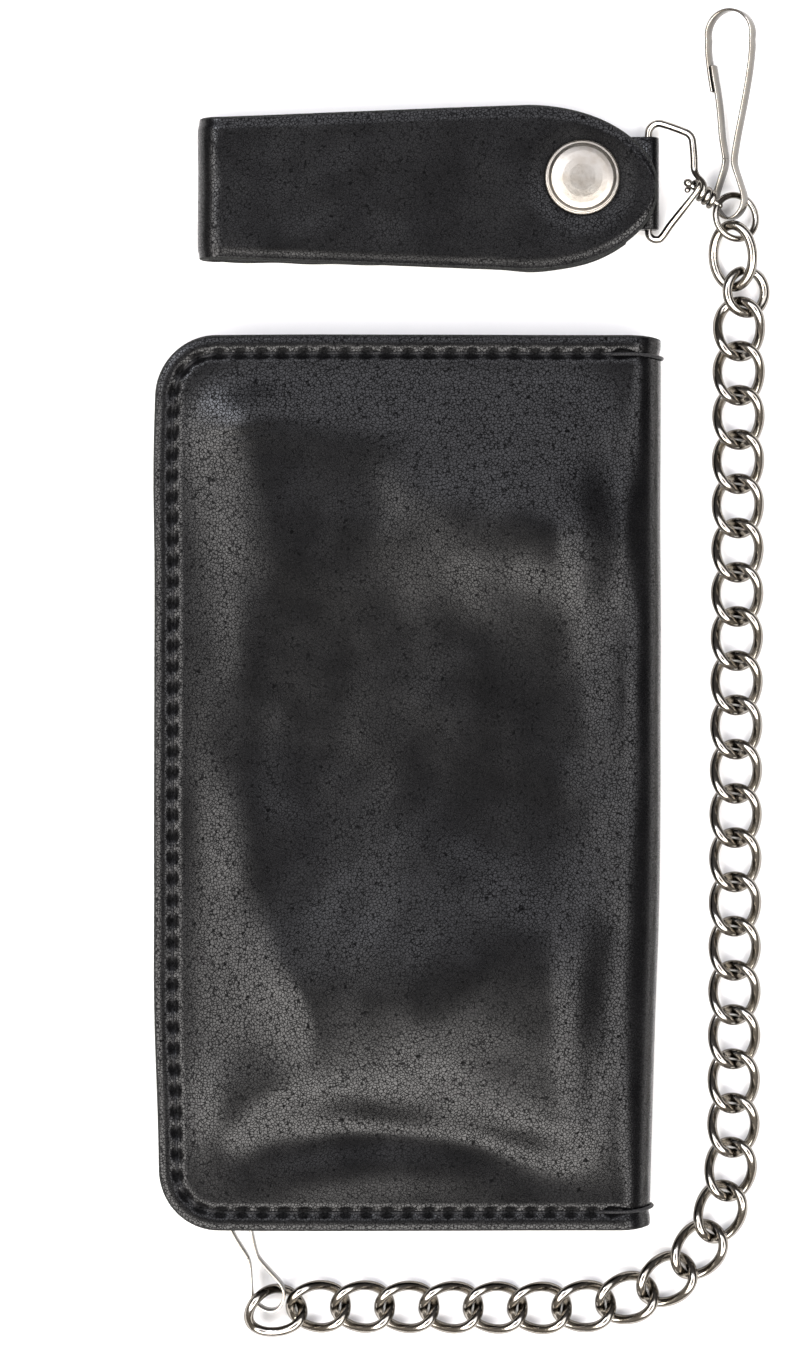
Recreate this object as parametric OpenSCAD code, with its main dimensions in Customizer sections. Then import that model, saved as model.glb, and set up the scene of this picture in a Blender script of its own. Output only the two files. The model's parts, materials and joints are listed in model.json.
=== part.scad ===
// Long bifold wallet with a leather belt strap and a curb chain between them.
// The closed wallet lies face down at z = 0: +X points to its spine, +Y to its top edge.

/* [Wallet] */
// Width of the closed wallet, open edge to spine
wallet_w = 101; // [99:0.5:103]
// Height of the closed wallet along the spine
wallet_h = 178; // [174:1:184]
// Thickness of the closed wallet
wallet_t = 15; // [15:0.25:16]
// Thickness of one outer cover with its lining
cover_t = 2.2; // [2:0.1:2.4]
// Radius of the cover corners at the open edge
corner_r = 12; // [8:1:15]
// Distance of each snap closure from the middle of the open edge
closure_y = 54; // [50:1:56]

/* [Card pockets] */
// Number of stepped card pockets
pocket_count = 4; // [1:1:4]
// Step from one pocket edge to the next
pocket_step = 12; // [8:1:14]
// Thickness of the pocket leather
pocket_t = 0.8; // [0.6:0.05:0.8]

/* [Belt strap] */
// Length of the folded strap
strap_l = 92; // [90:0.5:94]
// Width of the strap at its fold
strap_w_fold = 28.4; // [26:0.2:30]
// Width of the strap at the snap end
strap_w_tip = 33.2; // [32:0.2:35]
// Thickness of the strap leather
strap_t = 2; // [1.8:0.1:2]
// Height of the folded strap over its outer faces
strap_h = 9.2; // [9.2:0.1:9.6]
// Diameter of the snap cap
cap_d = 15; // [13:0.5:16]

/* [Chain] */
// Wire diameter of a curb link
link_wire = 2; // [1.8:0.05:2]
// Half width of a curb link to the middle of its wire
link_a = 4.3; // [4.2:0.05:4.5]
// Half length of a curb link to the middle of its wire
link_b = 5.6; // [5.55:0.01:5.62]
// Height of the curb twist at the middle of the wire
link_c = 1.7; // [1.6:0.05:1.75]
// Distance from one link to the next
link_pitch = 8.9; // [8.88:0.01:8.92]

/* [Clips] */
// Thickness of the spring strip
strip_t = 0.5; // [0.4:0.05:0.5]
// Width of the spring strip
strip_w = 2.6; // [2:0.1:2.6]

/* [Hidden] */
LINKS = 32;
LINK_NAMES = [for (i = [1:LINKS]) str("chain_link_", i < 10 ? "0" : "", i)];

$fn = 64;
LEATHER = "#1e1e20";
LINING = "#26262a";
NICKEL = "#c9c8c4";
STEEL = "#b4b2ad";

// ---------- shared shapes ----------

function unit(v) = v / norm(v);

// One section of a round wire: a ring of points square to the tangent t. No tangent runs along up.
function wire_ring_points(p, t, r, sides, up) =
    let (s = unit(cross(t, up)), u = cross(s, t))
    [for (k = [0:sides - 1]) p + r * (cos(k * 360 / sides) * s + sin(k * 360 / sides) * u)];

// Quads between neighbouring sections, each split in two triangles.
function wire_skin(rings, sides, closed) =
    [for (i = [0:rings - (closed ? 1 : 2)], k = [0:sides - 1])
        let (j = (i + 1) % rings, m = (k + 1) % sides)
        each [[i * sides + k, i * sides + m, j * sides + m],
              [i * sides + k, j * sides + m, j * sides + k]]];

// Round wire through the points of a path, closed into a loop or with two flat ends.
// The radius r is one number, or a list with one for each point.
module wire(path, r, sides = 8, closed = true, up = [0, 0, 1]) {
    n = len(path);
    tangents = [for (i = [0:n - 1])
        closed ? unit(path[(i + 1) % n] - path[(i + n - 1) % n])
               : unit(path[min(i + 1, n - 1)] - path[max(i - 1, 0)])];
    radii = is_list(r) ? r : [for (p = path) r];
    points = [for (i = [0:n - 1]) each wire_ring_points(path[i], tangents[i], radii[i], sides, up)];
    ends = closed ? [] : [[for (k = [sides - 1:-1:0]) k], [for (k = [0:sides - 1]) (n - 1) * sides + k]];
    polyhedron(points, concat(wire_skin(n, sides, closed), ends));
}

// Points of an arc in the XY plane.
function arc(centre, r, from, to, steps) =
    [for (i = [0:steps]) let (a = from + (to - from) * i / steps) centre + r * [cos(a), sin(a)]];

// Outline of a thin strip along a path, half its thickness to each side.
function strip_normal(path, i) =
    let (d = unit(path[min(i + 1, len(path) - 1)] - path[max(i - 1, 0)])) [-d[1], d[0]];
function strip_outline(path, t) = concat(
    [for (i = [0:len(path) - 1]) path[i] + strip_normal(path, i) * t / 2],
    [for (i = [len(path) - 1:-1:0]) path[i] - strip_normal(path, i) * t / 2]);

// ---------- wallet ----------

spine_r = wallet_t / 2;
spine_x = wallet_w / 2 - spine_r;
open_x = -wallet_w / 2;
back_gap = 1.2;
back_z = wallet_t - cover_t;
closure_x = -41;
stem_r = 1.6;
hole_r = 1.7;
closure_cap_r = 6.3;
closure_cap_h = 1.5;
socket_r = 5.2;
cavity_r = 2.8;
ball_r = 2.6;
bill_z = 7.4;
bill_t = 1;
rim_w = 3;
panel_t = 1;
notch_x = -24;
notch_y = -61.5;

// Half of the wallet seen from above: rounded corners at the open edge, square at the spine.
module half_outline(left, right, height, r) {
    translate([left + r, -height / 2])
        square([right - left - r, height]);
    translate([left, -height / 2 + r])
        square([2 * r, height - 2 * r]);
    for (side = [-1, 1])
        translate([left + r, side * (height / 2 - r)])
            circle(r);
}

module at_closures(z) {
    for (side = [-1, 1])
        translate([closure_x, side * closure_y, z])
            children();
}

module front_cover() {
    color(LEATHER)
        difference() {
            linear_extrude(cover_t)
                half_outline(open_x, spine_x, wallet_h, corner_r);
            at_closures(-1)
                cylinder(r = closure_cap_r + 0.2, h = 1 + closure_cap_h);
            at_closures(-1)
                cylinder(r = hole_r, h = cover_t + 2);
        }
}

module spine_fold() {
    color(LEATHER)
        translate([spine_x, 0, spine_r])
            rotate([90, 0, 0])
                linear_extrude(wallet_h, center = true)
                    intersection() {
                        difference() {
                            circle(spine_r);
                            circle(spine_r - cover_t);
                        }
                        translate([0, -wallet_t])
                            square([wallet_t, 2 * wallet_t]);
                    }
}

module back_cover() {
    color(LEATHER)
        translate([0, 0, back_z])
            linear_extrude(cover_t)
                half_outline(open_x, spine_x - back_gap, wallet_h, corner_r);
}

panel_left = -47;
panel_right = 39.5;
panel_bottom = -48;
panel_top = 85;

module card_panel() {
    color(LINING)
        translate([0, 0, cover_t])
            linear_extrude(panel_t)
                difference() {
                    translate([panel_left, panel_bottom])
                        square([panel_right - panel_left, panel_top - panel_bottom]);
                    translate([closure_x, closure_y])
                        circle(socket_r + 0.4);
                }
}

pocket_gap = 0.05;
pocket_inset = 1.5;
pocket_top = 44;

module card_pockets() {
    color(LEATHER)
        for (k = [0:pocket_count - 1])
            translate([panel_left + pocket_inset, panel_bottom + pocket_inset,
                       cover_t + panel_t + k * (pocket_t + pocket_gap)])
                cube([panel_right - panel_left - 2 * pocket_inset,
                      pocket_top - pocket_step * k - panel_bottom - pocket_inset, pocket_t]);
}

bill_left = -48.5;
bill_right = 39.5;
bill_h = 172;

module bill_outline() {
    difference() {
        half_outline(bill_left, bill_right, bill_h, corner_r - 2);
        translate([bill_left - 1, -bill_h])
            square([notch_x - bill_left + 1, bill_h + notch_y]);
    }
}

module bill_pocket() {
    color(LINING)
        difference() {
            translate([0, 0, bill_z])
                linear_extrude(back_z - bill_z)
                    bill_outline();
            translate([0, 0, bill_z + bill_t])
                linear_extrude(back_z)
                    translate([rim_w, 0])
                        half_outline(bill_left, bill_right + rim_w, bill_h - 2 * rim_w, corner_r - 2 - rim_w);
            at_closures(0)
                cylinder(r = 1.4, h = bill_z + 2 * bill_t);
        }
}

module closure_caps() {
    color(NICKEL)
        at_closures(0)
            rotate_extrude()
                polygon([[0, 0], [4.2, 0], [5.6, 0.3], [closure_cap_r, 0.9], [closure_cap_r, closure_cap_h],
                         [stem_r, closure_cap_h], [stem_r, cover_t + 1.1], [0, cover_t + 1.1]]);
}

module closure_sockets() {
    color(NICKEL)
        at_closures(cover_t)
            rotate_extrude()
                polygon([[hole_r, 0], [socket_r, 0], [socket_r, 0.8], [4, 3.2], [cavity_r, 3.2],
                         [cavity_r, 1.2], [hole_r, 1.2]]);
}

module closure_studs() {
    color(NICKEL)
        at_closures(bill_z)
            rotate_extrude()
                polygon([[0, -3.6], [1.9, -3.6], [ball_r, -2.9], [ball_r, -2.3], [2.1, -1.6], [2.1, -0.9],
                         [5, -0.9], [5, 0], [1.3, 0], [1.3, -2.6], [0, -2.6]]);
}

module closure_posts() {
    color(NICKEL)
        at_closures(bill_z)
            rotate_extrude()
                polygon([[0, -2.5], [1.2, -2.5], [1.2, bill_t], [4.5, bill_t], [4.2, bill_t + 0.7],
                         [0, bill_t + 0.7]]);
}

// ---------- anchor of the lower clip, inside the wallet ----------

lower_clip_pos = [-26.6, -106, 4.2];
lower_clip_yaw = 22.7;
lower_clip_pitch = 5;
lower_clip_roll = -5.5;
clip_l = 42;
anchor_wire_r = 0.7;
anchor_fold_r = 1.8;
anchor_bar_z = cover_t + anchor_fold_r;
anchor_top_z = 10.4;
anchor_half = 4.4;
anchor_tab_w = 7;
anchor_tab_l = 10;
anchor_tab_t = 2;
anchor_bow_r = 2.4;

// Puts a shape drawn in the clip's frame, +Y along the clip, at the far end of the lower clip.
module at_anchor() {
    reach = clip_l * cos(lower_clip_pitch);
    translate([lower_clip_pos[0] - reach * sin(lower_clip_yaw),
               lower_clip_pos[1] + reach * cos(lower_clip_yaw), 0])
        rotate([0, 0, lower_clip_yaw])
            children();
}

module anchor_tab() {
    color(LEATHER)
        at_anchor()
            translate([0, 0, anchor_bar_z])
                rotate([90, 0, 0])
                    linear_extrude(anchor_tab_w, center = true)
                        difference() {
                            union() {
                                circle(anchor_fold_r);
                                translate([0, -anchor_fold_r])
                                    square([anchor_tab_l, anchor_tab_t]);
                            }
                            circle(anchor_wire_r + 0.1);
                        }
}

// D-shaped wire ring: a straight bar low in the tab and a round bow above it.
module anchor_ring() {
    path = concat(
        [for (y = [-3:2:3]) [y, anchor_bar_z]],
        arc([anchor_half - 1, anchor_bar_z + 1], 1, -90, 0, 3),
        arc([anchor_half - anchor_bow_r, anchor_top_z - anchor_bow_r], anchor_bow_r, 0, 90, 6),
        arc([anchor_bow_r - anchor_half, anchor_top_z - anchor_bow_r], anchor_bow_r, 90, 180, 6),
        arc([1 - anchor_half, anchor_bar_z + 1], 1, 180, 270, 3));
    color(NICKEL)
        at_anchor()
            rotate([0, 0, 90])
                rotate([90, 0, 0])
                    wire([for (p = path) [p[0], p[1], 0]], anchor_wire_r);
}

// ---------- belt strap ----------

strap_x = -42.2;
strap_y = 118.8;
strap_fold_r = strap_h / 2;
strap_back_x = 44;
strap_wide_x = 24;
flap_z = strap_h - strap_t;
snap_x = 34.8;
snap_y = 2;
cap_r = cap_d / 2;
cap_h = 1.8;
ring_leg_x = 48.4;
ring_leg_y = 1.4;
ring_leg_z = 2.7;
ring_wire_r = 0.75;
ring_tab_w = 18.6;
ring_tab_fold_r = 2.1;
ring_tab_x = 25;
ring_tab_t = 2;

// Widening strap with a round tip at the snap end.
function strap_edge(from, to) =
    let (tip_l = strap_x + strap_l - strap_wide_x)
    concat([[from, -strap_w_fold / 2]],
           to > strap_wide_x
               ? [for (i = [0:24]) let (f = -90 + i * 7.5)
                     [min(to, strap_wide_x + tip_l * cos(f)), strap_w_tip / 2 * sin(f)]]
               : [[to, -strap_w_tip / 2], [to, strap_w_tip / 2]],
           [[from, strap_w_fold / 2]]);

module at_strap(z = 0) {
    translate([0, strap_y, z])
        children();
}

module strap_back() {
    color(LEATHER)
        at_strap()
            difference() {
                linear_extrude(strap_t)
                    polygon(strap_edge(strap_x + strap_fold_r, strap_back_x));
                translate([snap_x, snap_y, -1])
                    cylinder(r = hole_r, h = strap_t + 2);
                translate([snap_x, snap_y, -1])
                    cylinder(r = 5.1, h = 1.8);
            }
}

module strap_front() {
    color(LEATHER)
        at_strap()
            union() {
                difference() {
                    translate([0, 0, flap_z])
                        linear_extrude(strap_t)
                            polygon(strap_edge(strap_x + strap_fold_r, strap_x + strap_l));
                    translate([snap_x, snap_y, 0])
                        cylinder(r = hole_r, h = strap_h + 1);
                }
                translate([strap_x + strap_fold_r, 0, strap_fold_r])
                    rotate([90, 0, 0])
                        linear_extrude(strap_w_fold, center = true)
                            intersection() {
                                difference() {
                                    circle(strap_fold_r);
                                    circle(strap_fold_r - strap_t);
                                }
                                translate([-strap_h, -strap_h])
                                    square([strap_h, 2 * strap_h]);
                            }
            }
}

module ring_tab() {
    color(LEATHER)
        at_strap(strap_t)
            difference() {
                union() {
                    translate([ring_tab_x, ring_leg_y - ring_tab_w / 2, 0])
                        cube([ring_leg_x - ring_tab_x, ring_tab_w, ring_tab_t]);
                    translate([ring_leg_x, ring_leg_y + ring_tab_w / 2, ring_leg_z - strap_t])
                        rotate([90, 0, 0])
                            cylinder(r = ring_tab_fold_r, h = ring_tab_w);
                }
                translate([ring_leg_x, ring_leg_y + ring_tab_w, ring_leg_z - strap_t])
                    rotate([90, 0, 0])
                        cylinder(r = ring_wire_r + 0.08, h = 2 * ring_tab_w);
                translate([snap_x, snap_y, -1])
                    cylinder(r = hole_r, h = 5);
            }
}

module at_snap(z) {
    translate([snap_x, strap_y + snap_y, z])
        children();
}

module snap_cap() {
    color(NICKEL)
        at_snap(strap_h)
            rotate_extrude()
                polygon([[0, -strap_t - 0.6], [stem_r, -strap_t - 0.6], [stem_r, 0], [cap_r, 0], [cap_r, 0.5],
                         [cap_r - 0.4, 0.8], [5.6, 1.3], [4.2, 1.6], [2.4, cap_h - 0.05], [0, cap_h]]);
}

module snap_socket() {
    color(NICKEL)
        at_snap(flap_z)
            rotate_extrude()
                polygon([[hole_r, 0], [socket_r, 0], [socket_r, -0.6], [4, -2.3], [cavity_r, -2.3],
                         [cavity_r, -0.7], [hole_r, -0.7]]);
}

module snap_stud() {
    color(NICKEL)
        at_snap(strap_t + ring_tab_t)
            rotate_extrude()
                polygon([[hole_r, 0], [5, 0], [5, 0.6], [2.1, 0.6], [2.1, 0.9], [ball_r, 1.4], [ball_r, 1.8],
                         [2, 2.3], [hole_r, 2.3]]);
}

module snap_post() {
    color(NICKEL)
        at_snap(0)
            rotate_extrude()
                polygon([[0, 0], [4.2, 0], [4.9, 0.2], [4.9, 0.8], [stem_r, 0.8],
                         [stem_r, strap_t + ring_tab_t + 2.2], [0, strap_t + ring_tab_t + 2.2]]);
}

// ---------- rings ----------

// The wire ring leans up from its leg, and its two ends wind round the shank of the swivel loop.
ring_lean = 15;
ring_half = 10.3;
swivel_out = 11.6;
swivel_y = 117.6;
swivel_heading = -33.5;
swivel_drop = 15;
loop_roll = -19.5;
loop_r = 4.5;
loop_wire_r = 0.65;
loop_neck = 3.3;
coil_wire_r = 0.6;
coil_r = loop_wire_r + 0.08 + coil_wire_r;
head_r = 0.95;
head_from = -4.8;
head_to = -4.2;
// Bends of the wire from the coil to the ring's upper corner, and from its lower corner back.
bend_up = [[59.3, 119.3, 7], [58.9, 120.3, 6.5], [58.1, 121.3, 5.9]];
bend_down = [[52.6, 111.6, 4.4], [55, 114.6, 5.9], [57.2, 117.4, 7.2]];

// A place in the ring's own plane, given by its X and Y.
function on_ring(p) = [p[0], p[1], ring_leg_z + (p[0] - ring_leg_x) * tan(ring_lean)];

swivel = on_ring([ring_leg_x + swivel_out * cos(ring_lean), swivel_y]);
// Directions of the shank, and of the two lines square to it.
swivel_u = concat(cos(swivel_drop) * [cos(swivel_heading), sin(swivel_heading)], -sin(swivel_drop));
swivel_v = [-sin(swivel_heading), cos(swivel_heading), 0];
swivel_w = cross(swivel_u, swivel_v);

// Turns round the shank, from one place along it and angle about it to another.
function turns(along_from, along_to, angle_from, angle_to) =
    let (steps = ceil(abs(angle_to - angle_from) / 24))
    [for (i = [0:steps])
        let (f = i / steps,
             a = angle_from + (angle_to - angle_from) * f)
        swivel + (along_from + (along_to - along_from) * f) * swivel_u
               + coil_r * (cos(a) * swivel_v + sin(a) * swivel_w)];

module wire_ring() {
    top = strap_y + ring_leg_y + ring_half;
    bottom = strap_y + ring_leg_y - ring_half;
    frame = concat(
        [[57.5, 122.6], [57.4, 125]],
        arc([54.9, top - 2.2], 2.2, 5, 65, 4),
        arc([ring_leg_x + 2, top - 0.2], 2, 75, 180, 5),
        [for (y = [top - 3:-3:bottom + 2]) [ring_leg_x, y]],
        arc([ring_leg_x + 1.6, bottom + 0.6], 1.6, 180, 300, 5));
    path = concat(
        turns(1.8, -1.1, 900, 75),
        bend_up,
        [for (p = frame) on_ring(p)],
        bend_down,
        turns(-2.3, -3.5, 90, -150));
    color(NICKEL)
        wire(path, [for (p = path) norm(p - swivel) < 4.5 ? coil_wire_r : ring_wire_r], 8, false, swivel_u);
}

module at_swivel() {
    translate(swivel)
        rotate([0, swivel_drop, swivel_heading])
            rotate([loop_roll, 0, 0])
                children();
}

module swivel_loop() {
    color(NICKEL)
        at_swivel()
            union() {
                translate([loop_neck + loop_r, 0, 0])
                    rotate_extrude()
                        translate([loop_r, 0])
                            circle(loop_wire_r);
                translate([head_from, 0, 0])
                    rotate([0, 90, 0])
                        cylinder(r = loop_wire_r, h = loop_neck + loop_wire_r / 2 - head_from);
                translate([head_from, 0, 0])
                    rotate([0, 90, 0])
                        cylinder(r = head_r, h = head_to - head_from);
            }
}

ring_wire = 2;
top_ring_pos = [65.3, 105.6, 3.73];
top_ring_a = 4.3;
top_ring_b = 6.2;
top_ring_axis = -71.3;
top_ring_lean = 30;
open_link_pos = [68, 98.5, 2.84];
open_link_r = 4.3;
open_link_axis = 90.6;
open_link_lean = 25;
open_link_from = 105;
open_link_sweep = 315;

module leaning(pos, axis, lean) {
    translate(pos)
        rotate(a = lean, v = [cos(axis), sin(axis), 0])
            children();
}

module top_ring() {
    color(NICKEL)
        leaning(top_ring_pos, top_ring_axis, top_ring_lean)
            wire([for (i = [0:27]) let (a = i * 360 / 28) [top_ring_a * cos(a), top_ring_b * sin(a), 0]],
                 ring_wire / 2);
}

module open_link() {
    color(NICKEL)
        leaning(open_link_pos, open_link_axis, open_link_lean)
            wire([for (p = arc([0, 0], open_link_r, open_link_from, open_link_from + open_link_sweep, 21))
                     [p[0], p[1], 0]],
                 ring_wire / 2, 8, false);
}

// ---------- curb chain ----------

chain_start = [66.6, 91];
chain_heading = -90.4;
chain_turn = -90;
turn_from = 18.8;
turn_links = 7.2;
chain_z = link_c + link_wire / 2;
end_turn = 9;
end_lift = 18;
end_roll = 3;

function smooth_step(f) = let (g = max(0, min(1, f))) g * g * (3 - 2 * g);
function heading(i) = chain_heading + chain_turn * smooth_step((i - turn_from) / turn_links);
function along(a) = [cos(a), sin(a)];
function link_at(i) = i == 1 ? chain_start
    : link_at(i - 1) + link_pitch / 2 * (along(heading(i - 1)) + along(heading(i)));

LINK_POINTS = [for (k = [0:23]) let (t = k * 15) [link_a * cos(t), link_b * sin(t), link_c * sin(2 * t)]];

module chain_link(i) {
    color(NICKEL)
        translate(concat(link_at(i), chain_z))
            rotate([0, 0, heading(i) - 90])
                wire(LINK_POINTS, link_wire / 2);
}

// The last link climbs from the link before it into the eye of the lower clip.
module last_link() {
    before = heading(LINKS - 1);
    color(NICKEL)
        translate(concat(link_at(LINKS - 1) + link_pitch / 2 * along(before), chain_z))
            rotate([0, 0, before + end_turn - 90])
                rotate([end_lift, 0, 0])
                    rotate([0, end_roll, 0])
                        translate([0, link_pitch / 2, 0])
                            wire(LINK_POINTS, link_wire / 2);
}

// ---------- spring clips ----------

// Right half of the clip from the bottom of its eye to its top, in the clip's own plane.
CLIP_SIDE = [[0, 0], [1.2, 0.35], [2.2, 1.2], [2.9, 2.4], [3.15, 3.6], [3, 4.9], [2.1, 7.6], [1.2, 10.2],
             [0.95, 11.6], [1.1, 13], [1.7, 16.4], [2.6, 20.6], [3.4, 24.4], [4.1, 28.2], [4.65, 32],
             [4.85, 34.6]];
CLIP_TOP = arc([0, 36.95], 4.9, -12, 192, 16);
gate_from = 12;
gate_clear = 0.35;
hook_end = 25.6;
gate_end = 30.8;

function mirror_x(path) = [for (i = [len(path) - 1:-1:0]) [-path[i][0], path[i][1]]];
CLIP_LEFT = mirror_x(CLIP_SIDE);

module clip_hook() {
    lower = [for (p = CLIP_LEFT) if (p[1] < gate_from) p];
    upper = [for (p = CLIP_LEFT) if (p[1] > hook_end) p];
    linear_extrude(strip_w, center = true)
        polygon(strip_outline(
            concat([[-0.95, gate_from - 0.1]], lower, [for (i = [1:len(CLIP_SIDE) - 1]) CLIP_SIDE[i]],
                   CLIP_TOP, upper, [[-3.65, hook_end]]), strip_t));
}

module clip_gate() {
    inward = [strip_t + gate_clear, 0];
    leg = [for (i = [len(CLIP_LEFT) - 1:-1:0])
        let (p = CLIP_LEFT[i])
        if (p[1] > gate_from && p[1] < gate_end)
            p + inward * smooth_step((p[1] - gate_from - 4) / 8)];
    linear_extrude(strip_w, center = true)
        polygon(strip_outline(
            concat([[-0.97, gate_from + 0.15]], leg, [[-4.5, gate_end] + inward]), strip_t));
}

upper_clip_pos = [64.8, 113.2, 2.8];
upper_clip_pitch = 1.6;
upper_clip_roll = -29;

module at_upper_clip() {
    translate(upper_clip_pos)
        rotate([upper_clip_pitch, 0, 0])
            rotate([0, upper_clip_roll, 0])
                children();
}

module at_lower_clip() {
    translate(lower_clip_pos)
        rotate([0, 0, lower_clip_yaw])
            rotate([lower_clip_pitch, 0, 0])
                rotate([0, lower_clip_roll, 0])
                    children();
}

module upper_clip() { color(STEEL) at_upper_clip() clip_hook(); }
module upper_clip_gate() { color(STEEL) at_upper_clip() clip_gate(); }
module lower_clip() { color(STEEL) at_lower_clip() clip_hook(); }
module lower_clip_gate() { color(STEEL) at_lower_clip() clip_gate(); }

front_cover();
spine_fold();
back_cover();
card_panel();
card_pockets();
bill_pocket();
closure_caps();
closure_sockets();
closure_studs();
closure_posts();
anchor_tab();
anchor_ring();
strap_back();
strap_front();
ring_tab();
snap_cap();
snap_socket();
snap_stud();
snap_post();
wire_ring();
swivel_loop();
top_ring();
open_link();
upper_clip();
upper_clip_gate();
lower_clip();
lower_clip_gate();
for (i = [1:LINKS - 1])
    chain_link(i);
last_link();
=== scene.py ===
import json
from math import acos, atan2, ceil, cos, pi, radians, sin, sqrt, tan

import bmesh
import bpy
import numpy as np
from mathutils import Matrix, Vector


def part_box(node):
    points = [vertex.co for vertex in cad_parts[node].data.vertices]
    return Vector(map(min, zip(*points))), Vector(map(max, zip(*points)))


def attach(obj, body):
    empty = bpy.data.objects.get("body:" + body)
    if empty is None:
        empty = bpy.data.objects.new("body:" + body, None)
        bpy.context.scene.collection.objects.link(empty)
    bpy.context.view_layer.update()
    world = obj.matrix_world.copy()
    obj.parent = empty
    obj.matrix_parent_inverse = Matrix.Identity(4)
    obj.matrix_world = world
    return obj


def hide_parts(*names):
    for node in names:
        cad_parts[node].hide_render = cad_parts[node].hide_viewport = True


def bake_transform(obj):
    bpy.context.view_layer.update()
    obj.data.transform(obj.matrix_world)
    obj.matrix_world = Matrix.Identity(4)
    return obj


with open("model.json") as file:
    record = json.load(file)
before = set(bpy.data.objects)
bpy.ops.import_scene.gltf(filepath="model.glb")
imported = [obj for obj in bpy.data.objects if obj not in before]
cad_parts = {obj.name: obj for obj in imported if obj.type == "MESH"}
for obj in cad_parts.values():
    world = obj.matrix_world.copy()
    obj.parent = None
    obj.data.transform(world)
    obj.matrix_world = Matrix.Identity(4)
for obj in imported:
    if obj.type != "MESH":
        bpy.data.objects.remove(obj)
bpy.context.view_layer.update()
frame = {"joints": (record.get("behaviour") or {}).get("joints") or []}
scene = bpy.context.scene

MM = 0.001
JOINTS = {joint["name"]: joint for joint in frame["joints"]}


def smooth_step(low, high, x):
    f = np.clip((x - low) / (high - low), 0, 1)
    return f * f * (3 - 2 * f)


def bell(x, width):
    return np.exp(-(x / width) ** 2)


def box_mm(node):
    """Lowest and highest corner of a CAD node, in millimetres."""
    low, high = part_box(node)
    return np.array(low) / MM, np.array(high) / MM


# ---------- camera, floor and light ----------

FRAME_LONG = 0.2692
VIEW_HEIGHT = 0.9
OBJECT_PLANE = 0.008
VIEW_CENTRE = (-0.0024, 0.0218)
SENSOR = 36
FLOOR_HALF = 4
COOL_LIGHT_AT = (-0.50, 0.50, 1.0)
COOL_LIGHT_SIZE = 0.3
COOL_LIGHT_POWER = 2.5
COOL_LIGHT_COLOUR = (0.86, 0.9, 1.0)
WORLD_STRENGTH = 8.4
# Brightness of the studio from the horizon (0) to straight up (1), along a leaning axis.
BAND_AXIS = (0.0, -0.08, 1.0)
BAND = [(0.0, (0.014, 0.0125, 0.0105)), (0.60, (0.034, 0.031, 0.028)), (0.69, (0.055, 0.052, 0.048)),
        (0.76, (1.0, 0.98, 0.965)), (0.922, (1.0, 0.98, 0.965)), (0.96, (0.06, 0.057, 0.054)),
        (1.0, (0.03, 0.028, 0.026))]
# Colour that dims it, from the side away from the light (0) to the bright side (1).
BRIGHT_SIDE = (-0.28, -0.96, 0)
DIM, BRIGHT = (0.30, 0.305, 0.33), (1.0, 0.985, 0.97)
SIDE = [(0.0, DIM), (0.36, DIM), (0.64, BRIGHT), (1.0, BRIGHT)]


def add_camera():
    camera = bpy.data.cameras.new("camera")
    camera.sensor_width = SENSOR
    camera.lens = SENSOR * VIEW_HEIGHT / FRAME_LONG
    camera.clip_start = 0.01
    camera.clip_end = 20
    obj = bpy.data.objects.new("camera", camera)
    obj.location = (*VIEW_CENTRE, OBJECT_PLANE + VIEW_HEIGHT)
    scene.collection.objects.link(obj)
    scene.camera = obj


def add_floor():
    mesh = bpy.data.meshes.new("floor")
    corners = [(x * FLOOR_HALF, y * FLOOR_HALF, 0) for x, y in ((-1, -1), (1, -1), (1, 1), (-1, 1))]
    mesh.from_pydata(corners, [], [(0, 1, 2, 3)])
    material, tree, shader = new_material("floor_paper")
    feed(tree, shader, {"Base Color": (0.96, 0.96, 0.96, 1), "Roughness": 0.9, "Specular IOR Level": 0.1})
    mesh.materials.append(material)
    obj = bpy.data.objects.new("floor", mesh)
    scene.collection.objects.link(obj)


def add_cool_light():
    """Small soft box that points at the middle of the object."""
    light = bpy.data.lights.new("cool_light", "AREA")
    light.shape = "SQUARE"
    light.size = COOL_LIGHT_SIZE
    light.energy = COOL_LIGHT_POWER
    light.color = COOL_LIGHT_COLOUR
    obj = bpy.data.objects.new("cool_light", light)
    obj.location = COOL_LIGHT_AT
    obj.rotation_euler = (-Vector(COOL_LIGHT_AT)).to_track_quat("-Z", "Y").to_euler()
    scene.collection.objects.link(obj)


def add_world():
    """Studio: dark walls, a bright band high up round the object and a dim ceiling over it. The band
    leans, so it shines more from one side."""
    world = bpy.data.worlds.new("studio")
    world.use_nodes = True
    scene.world = world
    tree = world.node_tree
    place = add_node(tree, "TexCoord").outputs["Generated"]

    def along(axis):
        node = add_node(tree, "VectorMath", {0: place, 1: unit(np.array(axis))}, operation="DOT_PRODUCT")
        return node.outputs["Value"]

    def ramp_of(socket, stops):
        node = add_node(tree, "ValToRGB", {"Fac": socket})
        node.color_ramp.interpolation = "EASE"
        elements = node.color_ramp.elements
        elements[0].color = (*stops[0][1], 1)
        elements[1].color = (*stops[-1][1], 1)
        for position, colour in stops[1:-1]:
            elements.new(position).color = (*colour, 1)
        return node.outputs["Color"]

    half_turn = add_node(tree, "Math", {0: along(BRIGHT_SIDE), 1: 0.5, 2: 0.5}, operation="MULTIPLY_ADD")
    blend = add_node(tree, "Mix", {"Factor": 1.0, 6: ramp_of(along(BAND_AXIS), BAND),
                                   7: ramp_of(half_turn.outputs[0], SIDE)},
                     data_type="RGBA", blend_type="MULTIPLY")
    feed(tree, tree.nodes["Background"], {"Color": blend.outputs[2], "Strength": WORLD_STRENGTH})


def set_stage():
    add_camera()
    add_floor()
    add_world()
    add_cool_light()
    scene.view_settings.view_transform = "Standard"
    scene.view_settings.look = "None"


# ---------- materials ----------

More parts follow.
